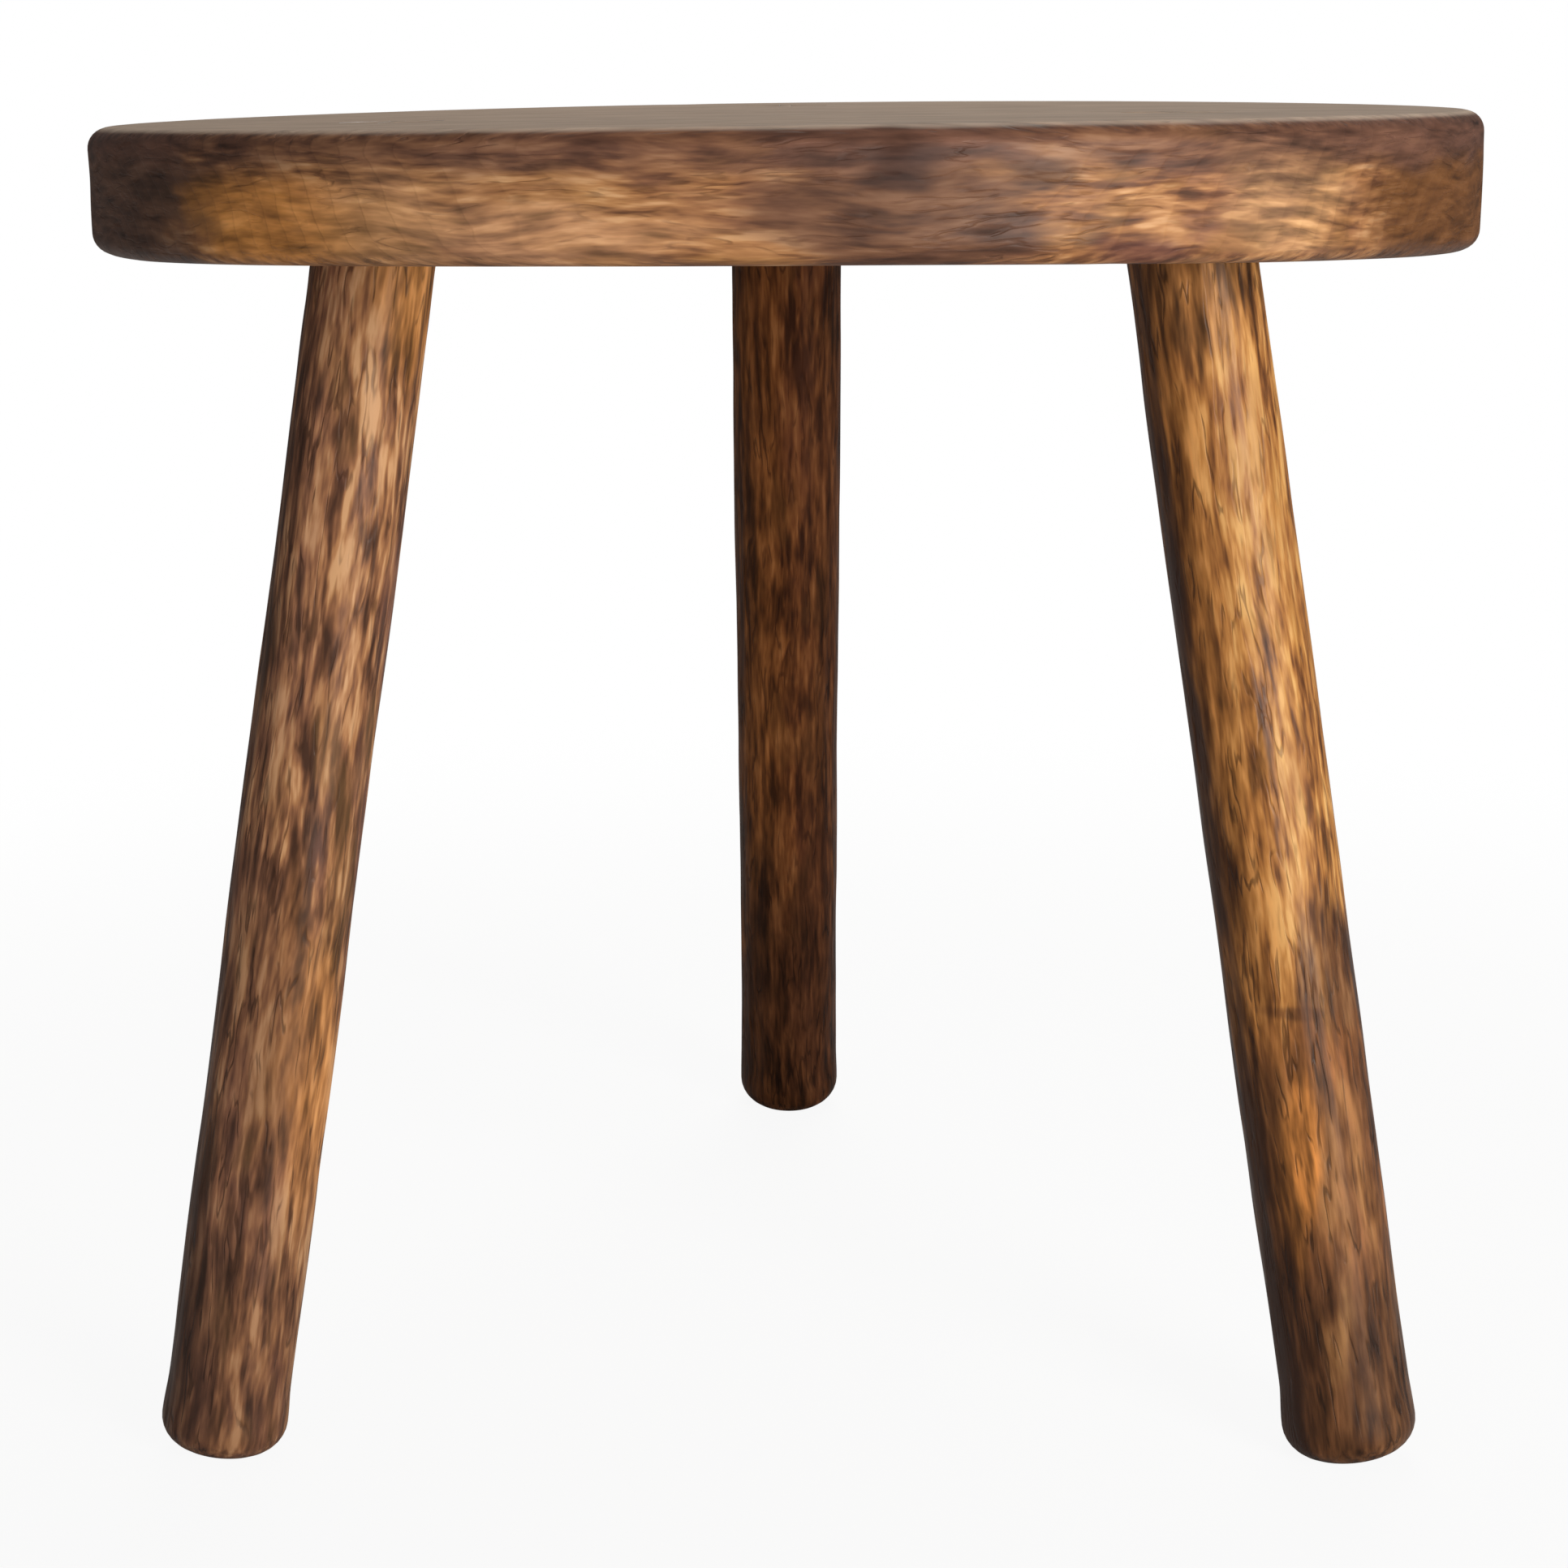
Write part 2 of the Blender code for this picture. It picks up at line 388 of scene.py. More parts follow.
@dataclass(frozen=True)
class LegPlan:
    """One leg's centre line and radii, measured on its CAD node.

    Args:
        name: Which leg.
        foot: Where the centre line meets the floor.
        direction: Unit vector up the leg.
        along_kerf: Unit vector square to the leg, along the kerf.
        across_kerf: Unit vector square to both.
        sole: Distance up the centre line from the floor to the sole.
        foot_radius: Radius just above the foot's edge.
        foot_edge: Radius of the foot's worn edge.
        shoulder_radius: Radius just under the seat.
        shoulder_gap: Room between the shoulder and the seat.
        tenon_radius: Radius of the tenon.
    """

    name: LegName
    foot: Vector
    direction: Vector
    along_kerf: Vector
    across_kerf: Vector
    sole: float
    foot_radius: float
    foot_edge: float
    shoulder_radius: float
    shoulder_gap: float
    tenon_radius: float

    @classmethod
    def from_frame(cls, name: LegName, seat: SeatFaces) -> LegPlan:
        """Measures a leg's node.

        Args:
            name: Which leg.
            seat: The seat above it.

        Returns:
            The leg's centre line and radii.
        """
        mesh = bpy.data.objects["leg_" + name.value].data
        points = [vertex.co.copy() for vertex in mesh.vertices]
        # The shaft's long edges run from the foot to the shoulder, evenly round the centre line.
        spans = []
        for edge in mesh.edges:
            low, high = sorted((points[index] for index in edge.vertices), key=lambda end: end.z)
            if low.z < LOW_SHARE * seat.underside and high.z > HIGH_SHARE * seat.underside:
                spans.append((low, high))
        low_middle = sum((low for low, _ in spans), Vector()) / len(spans)
        high_middle = sum((high for _, high in spans), Vector()) / len(spans)
        direction = (high_middle - low_middle).normalized()
        foot = low_middle - direction * (low_middle.z / direction.z)
        front_to_back = Vector((0.0, 1.0, 0.0))
        along_kerf = (front_to_back - direction * front_to_back.dot(direction)).normalized()

        def up_leg(point: Vector) -> float:
            """Returns how far up the centre line a point lies."""
            return (point - foot).dot(direction)

        def from_axis(point: Vector) -> float:
            """Returns how far a point lies from the centre line."""
            return (point - foot - direction * up_leg(point)).length

        tenon_radius = max(
            from_axis(point)
            for point in points
            if abs(point.z - seat.height - seat.slope * point.x) < FLUSH_DISTANCE
        )
        low_points = [point for point in points if point.z < LOW_SHARE * seat.underside]
        sole = min(up_leg(point) for point in low_points)
        widest = max(low_points, key=from_axis)
        shoulder = max((high for _, high in spans), key=lambda point: point.z)
        return cls(
            name=name,
            foot=foot,
            direction=direction,
            along_kerf=along_kerf,
            across_kerf=along_kerf.cross(direction),
            sole=sole,
            foot_radius=from_axis(widest) - WORN_OFF,
            foot_edge=up_leg(widest) - sole,
            shoulder_radius=from_axis(shoulder),
            shoulder_gap=seat.bottom(shoulder.x) - shoulder.z,
            tenon_radius=tenon_radius,
        )


# ---- Shapes grown by geometry nodes ----


class Grower:
    """A geometry node tree that bends a grid of points into one closed piece."""

    def __init__(self, name: str, inputs: dict[str, Any]) -> None:
        """Starts a tree with named inputs.

        Args:
            name: The tree's name.
            inputs: Name and value of each input: a number, a whole number, a vector or a material.
        """
        self.tree = bpy.data.node_groups.new(name, "GeometryNodeTree")
        self.bench = Bench(self.tree)
        self.values: dict[str, Any] = {}
        for label, value in inputs.items():
            socket = self.tree.interface.new_socket(
                name=label, in_out="INPUT", socket_type=self.socket_type(value)
            )
            self.values[socket.identifier] = value
        self.tree.interface.new_socket(
            name="Geometry", in_out="OUTPUT", socket_type="NodeSocketGeometry"
        )
        self.given = self.bench.node("NodeGroupInput")

    @staticmethod
    def socket_type(value: Any) -> str:
        """Returns the type of socket that holds a value."""
        if isinstance(value, bpy.types.Material):
            return "NodeSocketMaterial"
        if isinstance(value, Vector):
            return "NodeSocketVector"
        return "NodeSocketInt" if isinstance(value, int) else "NodeSocketFloat"

    def get(self, label: str) -> Field:
        """Returns one of the tree's inputs."""
        return Field(self.bench, self.given.outputs[label])

    def rows(self, counts: tuple[int, ...], columns: int) -> tuple[Field, Field, list[Field]]:
        """Lays out a grid whose rows are shared out among the stretches of an outline.

        Args:
            counts: How many rows each stretch of the outline has.
            columns: How many columns go around.

        Returns:
            The grid, the turn from 0 to 1 around the piece, and each stretch's run from 0 to 1.
        """
        total = sum(counts)
        sockets = {"Size X": 1.0, "Size Y": 1.0, "Vertices X": columns + 1, "Vertices Y": total + 1}
        grid = self.bench.node("GeometryNodeMeshGrid", {}, sockets)
        place = self.bench.output("GeometryNodeInputPosition")
        turn = place.part("X") + 0.5
        row = (place.part("Y") + 0.5) * float(total)
        stretches = []
        passed = 0
        for count in counts:
            stretches.append(((row - float(passed)) / float(count)).clamp())
            passed += count
        return Field(self.bench, grid.outputs["Mesh"]), turn, stretches

    def finish(self, grid: Field, place: Field, shift: Field, material: Field) -> None:
        """Moves the grid's points to their places, closes its seam and gives it its material.

        Args:
            grid: The grid.
            place: Where each point goes.
            shift: What is added to that by wear.
            material: The wood.
        """
        steps = (
            ("SetPosition", {"Position": place + shift}),
            ("MergeByDistance", {"Distance": MERGE_DISTANCE}),
            ("SetShadeSmooth", {"Shade Smooth": True}),
            ("RealizeInstances", {}),
            ("SetMaterial", {"Material": material}),
        )
        shape = grid
        for kind, sockets in steps:
            shape = self.bench.output("GeometryNode" + kind, {}, {"Geometry": shape, **sockets})
        self.bench.node("NodeGroupOutput", {}, {"Geometry": shape})

    def grow(self, name: str) -> bpy.types.Object:
        """Runs the tree and keeps its result as a plain mesh.

        Args:
            name: The new piece's name.

        Returns:
            The piece, at the origin.
        """
        carrier = add_object(name + "_grower", bpy.data.meshes.new(name + "_start"))
        modifier = carrier.modifiers.new("grow", "NODES")
        modifier.node_group = self.tree
        for identifier, value in self.values.items():
            modifier[identifier] = value
        mesh = take_result(carrier, modifier)
        mesh.name = name
        bpy.data.objects.remove(carrier, do_unlink=True)
        piece = add_object(name, mesh)
        face_outwards(piece)
        return piece


def add_object(name: str, data: bpy.types.ID) -> bpy.types.Object:
    """Returns a new object in the scene that shows a mesh, a lamp or a camera."""
    thing = bpy.data.objects.new(name, data)
    bpy.context.scene.collection.objects.link(thing)
    return thing


def take_result(piece: bpy.types.Object, modifier: bpy.types.Modifier) -> bpy.types.Mesh:
    """Runs a piece's only modifier and takes it off again.

    Args:
        piece: The piece, which keeps its old mesh.
        modifier: The modifier.

    Returns:
        The mesh that the modifier made.
    """
    bpy.context.view_layer.update()
    evaluated = piece.evaluated_get(bpy.context.evaluated_depsgraph_get())
    result = bpy.data.meshes.new_from_object(evaluated)
    piece.modifiers.remove(modifier)
    return result


def face_outwards(piece: bpy.types.Object) -> None:
    """Merges doubles and turns every face outwards.

    Args:
        piece: A closed piece.
    """
    shape = bmesh.new()
    shape.from_mesh(piece.data)
    bmesh.ops.remove_doubles(shape, verts=shape.verts, dist=MERGE_DISTANCE)
    bmesh.ops.dissolve_degenerate(shape, edges=shape.edges, dist=MERGE_DISTANCE / 4)
    bmesh.ops.recalc_face_normals(shape, faces=shape.faces)
    shape.to_mesh(piece.data)
    shape.free()


def cut_away(piece: bpy.types.Object, cutter: bpy.types.Object) -> None:
    """Takes a closed cutter out of a piece for good.

    Args:
        piece: What is cut.
        cutter: What is taken away. It is removed afterwards.
    """
    boolean = piece.modifiers.new("cut", "BOOLEAN")
    boolean.operation = "DIFFERENCE"
    boolean.solver = "EXACT"
    boolean.object = cutter
    result = take_result(piece, boolean)
    result.name = piece.data.name
    piece.data = result
    bpy.data.objects.remove(cutter, do_unlink=True)


def sharpen(piece: bpy.types.Object, degrees: float) -> None:
    """Shades a piece smooth, apart from edges that turn more than this many degrees."""
    piece.data.shade_smooth()
    piece.data.set_sharp_from_angle(angle=math.radians(degrees))


def prism(name: str, lower: list[Vector], upper: list[Vector]) -> bpy.types.Object:
    """Returns a closed solid between two outlines of equally many points.

    Args:
        name: The object's name.
        lower: The outline at one end.
        upper: The outline at the other end.

    Returns:
        The solid, faces outwards.
    """
    shape = bmesh.new()
    first = [shape.verts.new(point) for point in lower]
    second = [shape.verts.new(point) for point in upper]
    count = len(first)
    for index in range(count):
        following = (index + 1) % count
        shape.faces.new((first[index], first[following], second[following], second[index]))
    shape.faces.new(list(reversed(first)))
    shape.faces.new(second)
    bmesh.ops.recalc_face_normals(shape, faces=shape.faces)
    mesh = bpy.data.meshes.new(name)
    shape.to_mesh(mesh)
    shape.free()
    return add_object(name, mesh)


def add_to_stool(piece: bpy.types.Object, node: str) -> None:
    """Puts a finished piece in the place of its CAD node.

    Args:
        piece: The finished piece.
        node: The CAD node that it stands for.
    """
    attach(piece, "root")
    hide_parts(node)
    log.info("%s: %d faces", piece.name, len(piece.data.polygons))


# ---- Wood ----


@dataclass(frozen=True)
class StainAndPaintedLight:
    """A patch of changed colour from handling, dirt or the tree, some partly painted shade and
    light.

    Args:
        place: Its middle, in the stool's own frame.
        reach: How far it goes along X, Y and Z before it fades out.
        colour: What it turns the wood into.
        strength: From 0 to 1.
        ragged: How far the wood's mottling breaks its outline.
        core: The share of its reach over which it keeps its full strength.
    """

    place: tuple[float, float, float]
    reach: tuple[float, float, float]
    colour: Colour
    strength: float
    ragged: float = 1.6
    core: float = 0.35

    def laid_on(self, site: Site, colour: Field, mottle: Field, figure: Field) -> Field:
        """Blends the patch into the wood.

        Args:
            site: Where the material is worked out.
            colour: The colour so far.
            mottle: Noise that breaks its outline.
            figure: What the wood's figure multiplies the patch's colour by.

        Returns:
            The colour with the patch.
        """
        scale = Vector((1 / self.reach[0], 1 / self.reach[1], 1 / self.reach[2]))
        distance = ((site.stool - Vector(self.place)) * scale).length()
        distance = distance + (mottle - NOISE_MEAN) * self.ragged
        amount = (1.0 - distance.ramp(self.core, 1.0)) * self.strength
        return site.bench.blend(amount, colour, figure * Vector(self.colour))


@dataclass(frozen=True)
class Palette:
    """The colours of one kind of wood, from the deepest brown to the lightest fleck.

    Args:
        shadow: The deepest brown.
        umber: The dark brown between.
        body: Most of the wood.
        gold: Where it has worn lighter.
        pale: The lightest flecks.
        pore: The open pores and the dirt in them.
        bloom: Dull red or grey tint that lies over some of it.
        ochre: Yellower tint that lies over some of it.
    """

    shadow: Colour
    umber: Colour
    body: Colour
    gold: Colour
    pale: Colour
    pore: Colour
    bloom: Colour
    ochre: Colour


@dataclass(frozen=True)
class Layer:
    """One scale of the wood's figure: noise drawn out along the grain.

    Args:
        across: Waves to the metre across the grain.
        along: Waves to the metre along the grain.
        detail: How many finer layers it has.
        shift: Keeps it apart from the other layers.
        weight: How strongly it shows, in the tone or as a tint.
        edge: Where its mask starts, and where it is full.
    """

    across: float
    along: float
    detail: float = 2.0
    shift: tuple[float, float, float] = (0.0, 0.0, 0.0)
    weight: float = 1.0
    edge: tuple[float, float] = (0.0, 1.0)

    def mask(self, noise: Field) -> Field:
        """Returns 0 to 1, by how high this layer's noise is."""
        return noise.ramp(*self.edge)


FIBRE = Layer(1200, 100, weight=0.12)
STREAK = Layer(380, 50, 3.0, weight=1.35)
FLECK = Layer(640, 86, 2.0, (0.7, 0.4, 0.9), 1.15, (0.58, 0.72))
DASH = Layer(640, 85, 2.0, (0.3, 0.1, 0.2), 0.35, (0.57, 0.72))
MOTTLE = Layer(150, 30, 3.0, (0.2, 0.5, 0.1))
CLOUD = Layer(34, 12, 2.0, (0.9, 0.2, 0.4), 0.45)
BLOOM = Layer(90, 26, 2.0, (0.1, 0.8, 0.6), 0.40, (0.48, 0.64))
OCHRE = Layer(110, 32, 2.0, (0.6, 0.3, 0.1), 0.30, (0.50, 0.66))
CRACK = Layer(330, 42, 2.0, (0.5, 0.9, 0.3), 0.55, (0.008, 0.042))
CRACK_END = Layer(260, 75, 2.0, (0.4, 0.6, 0.8), 1.0, (0.44, 0.58))

LATE_WOOD_WEIGHT = 0.05
FLECK_TINT = 0.35  # how pale the flecks are tinted
TONE_STOPS = (0.20, 0.37, 0.52, 0.67, 0.84)  # tones of shadow, umber, body, gold and pale
PATCH_FLOOR = 0.15  # how light a patch stays where the figure is darkest
PATCH_RANGE = 0.88  # how much the figure adds to that
PATCH_SCALE = 1.82  # 1 over the mean tone
DULL = 0.66  # roughness without wax
WAXED = 0.34  # how much wax takes away from it
RELIEF_DEPTH = 0.0005


@dataclass(frozen=True)
class Site:
    """What a finish can read where it works out one point's colour.

    Args:
        bench: The material's bench.
        stool: Position in the stool's frame.
        wood: Position in the wood's frame, with the grain along Z and the piece's middle at 0.
        normal: Which way the surface faces, in the stool's frame.
        grain: Unit vector along the grain, in the stool's frame.
    """

    bench: Bench
    stool: Field
    wood: Field
    normal: Field
    grain: Vector


@dataclass(frozen=True)
class WoodFinish:
    """Waxed old hardwood, with its grain along the local Z of the piece.

    Args:
        name: The material's name.
        palette: Its colours.
        pith: Where the tree's middle lies, across the grain from the piece's middle, in metres.
        ring_width: Width of a year's growth.
        lightness: How far the tone is moved towards the light colours.
        contrast: How strong the streaks are.
        stains_and_painted_light: Patches.
        seed: Moves the whole pattern.
        gloss: How smooth the wax is, from 0, dull, to 1.
        coarseness: Size of the figure, against that of the legs.
        painted_sheen: Painted sheen: the pale grey that its faces looking up are lightened to.
        painted_sheen_strength: From 0 to 1.
        mottling: How strong the broad mottling is, against the streaks.
        patch_contrast: How strongly the figure shows through the patches.
        patch_cracks: How dark the cracks are in the patches.
        mirror: How much of the room the wax throws back.
    """

    name: str
    palette: Palette
    pith: tuple[float, float]
    ring_width: float
    lightness: float
    contrast: float
    # stains_and_painted_light: Patches, some partly painted shade and painted light.
    stains_and_painted_light: tuple[StainAndPaintedLight, ...]
    seed: float
    gloss: float = 0.5
    coarseness: float = 1.0
    # painted sheen: the pale grey that faces looking up are lightened to
    painted_sheen: Colour = (0.640, 0.500, 0.385)
    painted_sheen_strength: float = 0.8
    mottling: float = 0.55
    patch_contrast: float = 1.0
    patch_cracks: float = 0.0
    mirror: float = 0.22

    def make(self, middle: Vector, grain: Vector) -> bpy.types.Material:
        """Builds the material.

        Args:
            middle: The middle of the piece, where the pattern is centred.
            grain: Unit vector along the grain.

        Returns:
            The material, which reads Object coordinates only.
        """
        material = bpy.data.materials.new(self.name)
        material.use_nodes = True
        material.node_tree.nodes.clear()
        bench = Bench(material.node_tree)
        stool = bench.output("ShaderNodeTexCoord", {}, {}, "Object")
        turn = grain.rotation_difference(UP).to_matrix()
        start = -(turn @ middle)
        wood = bench.output(
            "ShaderNodeMapping",
            {"vector_type": "POINT"},
            {"Vector": stool, "Location": start, "Rotation": turn.to_euler("XYZ")},
        )
        normal = bench.output("ShaderNodeNewGeometry", {}, {}, "Normal")
        self.dress(Site(bench, stool, wood, normal, grain))
        return material

    def dress(self, site: Site) -> None:
        """Works out colour, gloss and relief.

        Args:
            site: Where the material is worked out.
        """
        bench = site.bench
        bent = self.bent(site)
        fibre, streak, fleck, dash, mottle, cloud = [
            self.figure(site, bent, layer) for layer in (FIBRE, STREAK, FLECK, DASH, MOTTLE, CLOUD)
        ]
        crack = self.cracks(site, bent)
        late = self.late_wood(bent)

        tone = (
            (streak - NOISE_MEAN) * (STREAK.weight * self.contrast)
            + (fleck - NOISE_MEAN) * (FLECK.weight * self.contrast)
            + (mottle - NOISE_MEAN) * (self.mottling * self.contrast)
            + (cloud - NOISE_MEAN) * CLOUD.weight
            + (fibre - NOISE_MEAN) * FIBRE.weight
            - late * LATE_WOOD_WEIGHT
            + (0.5 + self.lightness)
        ).clamp()
        palette = self.palette
        colours = (palette.shadow, palette.umber, palette.body, palette.gold, palette.pale)
        stops = list(zip(TONE_STOPS, colours))
        colour = bench.output("ShaderNodeValToRGB", {"stops": stops}, {"Fac": tone})
        for layer, tint in ((BLOOM, palette.bloom), (OCHRE, palette.ochre)):
            tinted = layer.mask(self.figure(site, bent, layer))
            colour = bench.blend(tinted * layer.weight, colour, tint)
        flecks = FLECK.mask(fleck) * tone.ramp(0.35, 0.65)
        colour = bench.blend(flecks * FLECK_TINT, colour, palette.pale)
        pores = DASH.mask(dash)
        colour = bench.blend(pores * DASH.weight, colour, palette.pore)
        colour = bench.blend(crack * (CRACK.weight * self.contrast), colour, palette.pore)
        colour, end_grain = self.end_grain(site, bent, colour)
        lively = PATCH_FLOOR + (tone * PATCH_SCALE) ** self.patch_contrast * PATCH_RANGE
        shown = lively * (1.0 - crack * self.patch_cracks)
        # partly painted shade: a redder, darker flank on each leg towards -X
        colour = self.painted_flank_shade(site, colour, shown, mottle)
        # patches of other colour, some partly painted shade and painted light
        for stain_and_light in self.stains_and_painted_light:
            colour = stain_and_light.laid_on(site, colour, mottle, shown)
        # painted shade on the legs' -X edge, then a painted sheen on the faces that look up
        colour = self.painted_light(site, colour, streak, mottle)

        uneven = mottle - NOISE_MEAN
        roughness = (
            (DULL - WAXED * self.gloss)
            + pores * 0.22
            + end_grain * 0.12
            - flecks * 0.06
            + uneven * 0.30
            + self.upward(site) * 0.30
        )
        height = fibre * 0.15 + streak * 0.30 - crack * 0.5 - late * 0.15 + uneven * 0.4
        bump = {"Strength": 0.5, "Distance": RELIEF_DEPTH, "Height": height}
        relief = bench.output("ShaderNodeBump", {}, bump)
        shader = bench.output(
            "ShaderNodeBsdfPrincipled",
            {},
            {
                "Base Color": colour,
                "Roughness": roughness.clamp(),
                "Normal": relief,
                "IOR": 1.45,
                "Specular IOR Level": self.mirror,
            },
        )
        bench.node("ShaderNodeOutputMaterial", {}, {"Surface": shader})

    def bent(self, site: Site) -> Field:
        """Returns the position in the wood, moved so that the grain wanders and curls a little."""
        bench = site.bench
        moved = site.wood + Vector((self.seed, self.seed * 1.7, self.seed * 0.6))
        for scale, reach in ((Vector((34, 34, 12)), 0.006), (Vector((170, 170, 45)), 0.0016)):
            drift = bench.noise(moved * scale, 1.0, 1)
            moved = moved + (drift - Vector((0.5, 0.5, 0.5))) * Vector((reach, reach, 0.0))
        return moved

    def figure(self, site: Site, place: Field, layer: Layer) -> Field:
        """Returns one layer's noise at this bent position in the wood."""
        scale = Vector((layer.across, layer.across, layer.along)) / self.coarseness
        return site.bench.noise((place + Vector(layer.shift)) * scale, layer.detail)

    def cracks(self, site: Site, place: Field) -> Field:
        """Returns the fine dark lines along the grain, from 0 to 1.

        Args:
            site: Where the material is worked out.
            place: Bent position in the wood.

        Returns:
            1 in the middle of a line, 0 between lines.
        """
        folded = (self.figure(site, place, CRACK) - NOISE_MEAN).apply("ABSOLUTE")
        broken = CRACK_END.mask(self.figure(site, place, CRACK_END))
        return (1.0 - CRACK.mask(folded)) * broken

    def late_wood(self, place: Field) -> Field:
        """Returns the dark line that closes each year's growth, from 0 to 1.

        Args:
            place: Bent position in the wood.

        Returns:
            0 in early wood, 1 in late wood.
        """
        offset = place - Vector((self.pith[0] + self.seed, self.pith[1] + self.seed * 1.7, 0.0))
        years = (offset * Vector((1.0, 1.0, 0.0))).length() / self.ring_width
        year = years.apply("FRACT")
        return year.ramp(0.35, 0.9) * (1.0 - year.ramp(0.92, 1.0))

    def end_grain(self, site: Site, place: Field, colour: Field) -> tuple[Field, Field]:
        """Darkens the wood where its fibres are cut across.

        Args:
            site: Where the material is worked out.
            place: Bent position in the wood.
            colour: The colour so far.

        Returns:
            The colour, and how much end grain there is, from 0 to 1.
        """
        amount = site.normal.dot(site.grain).apply("ABSOLUTE").ramp(0.60, 0.99)
        speckle = site.bench.noise(place * 800.0, 2.0).ramp(0.40, 0.62)
        cut_across = site.bench.blend(speckle * 0.7, self.palette.umber, self.palette.shadow)
        return site.bench.blend(amount * 0.7, colour, cut_across), amount

    def painted_flank_shade(self, site: Site, colour: Field, shown: Field, mottle: Field) -> Field:
        """Returns the colour as it is, with no painted shade on one flank."""
        return colour

    def painted_light(self, site: Site, colour: Field, streak: Field, mottle: Field) -> Field:
        """Paints a pale sheen on the faces that look up, and returns the colour."""
        patchy = 0.85 + (mottle - NOISE_MEAN) * 0.7 + (streak - NOISE_MEAN) * 0.7
        amount = (self.upward(site) * patchy * self.painted_sheen_strength).clamp()
        return site.bench.blend(amount, colour, self.painted_sheen)

    @staticmethod
    def upward(site: Site) -> Field:
        """Returns 1 where the surface faces up and the sheen is painted, and 0 on its sides."""
        return site.normal.part("Z").ramp(0.75, 0.98)


@dataclass(frozen=True)
class PlankFinish(WoodFinish):
    """A flat-sawn plank: its growth lies in level layers, which show as dashes round the rim."""

    def figure(self, site: Site, place: Field, layer: Layer) -> Field:
        """Returns one layer's noise, along the grain on both faces and level on the rim.

        Args:
            site: Where the material is worked out.
            place: Bent position in the wood.
            layer: Which layer.

        Returns:
            The noise, around 0.5.
        """
        flat = super().figure(site, place, layer)
        shifted = site.stool + Vector((self.seed, layer.across * 0.01, self.seed))
        sloped = shifted + site.bench.vector(0.0, 0.0, self.slope_of_layers(site))
        around = layer.along * 1.15
        scale = Vector((around, around, layer.across)) / self.coarseness
        level = site.bench.noise(sloped * scale, layer.detail)
        on_rim = 1.0 - site.normal.part("Z").apply("ABSOLUTE").ramp(0.35, 0.85)
        return flat + (level - flat) * on_rim

    def slope_of_layers(self, site: Site) -> Field:
        """Returns how much the layers rise and fall along the rim, in metres."""
        return (site.bench.noise(site.stool * Vector((30, 30, 60)), 1.0) - 0.5) * 0.006


@dataclass(frozen=True)
class LegFinish(WoodFinish):
    """A leg's wood, with painted shade on its side towards -X: a dark edge, and a redder flank that
    is partly shade.

    Args:
        radius: The leg's radius.
        shade: Painted shade: the dark colour laid on its edge towards -X.
        shade_strength: From 0 to 1.
        flank: The redder colour between that edge and the middle, partly painted shade.
        flank_strength: From 0 to 1.
    """

    radius: float = 0.0145
    shade: Colour = (0.060, 0.024, 0.012)
    shade_strength: float = 0.6
    flank: Colour = (0.260, 0.095, 0.024)
    flank_strength: float = 0.4
    mottling: float = 0.85
    patch_cracks: float = 0.6

    def painted_flank_shade(self, site: Site, colour: Field, shown: Field, mottle: Field) -> Field:
        """Paints the flank redder than the middle, and partly darker as painted shade.

        Args:
            site: Where the material is worked out.
            colour: The colour so far.
            shown: What the wood's figure multiplies a plain colour by.
            mottle: The wood's mottling.

        Returns:
            The colour with its flank.
        """
        across = site.wood.part("X") / self.radius + (mottle - NOISE_MEAN) * 1.0
        # partly painted shade: a redder, darker flank towards -X
        amount = (1.0 - across.ramp(-0.75, 0.20)) * self.flank_strength
        return site.bench.blend(amount, colour, shown * Vector(self.flank))

    def painted_light(self, site: Site, colour: Field, streak: Field, mottle: Field) -> Field:
        """Paints shade on the side towards -X, then the sheen on the faces that look up.

        Args:
            site: Where the material is worked out.
            colour: The colour so far.
            streak: The wood's streaks.
            mottle: The wood's mottling.

        Returns:
            The colour with its painted shade and sheen.
        """
        uneven = (mottle - NOISE_MEAN) * 0.7 + (streak - NOISE_MEAN) * 0.5
        across = site.wood.part("X") / self.radius + uneven
        # painted shade: darker towards -X, the side away from the key lamp
        amount = (1.0 - across.ramp(-1.05, -0.45)) * self.shade_strength
        colour = site.bench.blend(amount, colour, self.shade)
        return super().painted_light(site, colour, streak, mottle)


# ---- The pieces ----


def face_inputs(faces: SeatFaces) -> dict[str, float]:
    """Returns a tree's named inputs for the seat's faces."""
    return {
        "Seat Radius": faces.radius,
        "Underside": faces.underside,
        "Hollow": faces.hollow,
        "Top Height": faces.height,
        "Top Slope": faces.slope,
        "Top Crown": faces.crown,
    }


def face_fields(grower: Grower) -> SeatFaces:
    """Returns the seat's faces as a tree's own inputs hold them."""
    labels = ("Seat Radius", "Underside", "Hollow", "Top Height", "Top Slope", "Top Crown")
    return SeatFaces(*[grower.get(label) for label in labels])


@dataclass(frozen=True)
class Dent:
    """A knock in the seat.

    Args:
        place: Its middle.
        reach: How wide it is, in metres.
        depth: How deep it is, in metres.
    """

    place: tuple[float, float, float]
    reach: float
    depth: float


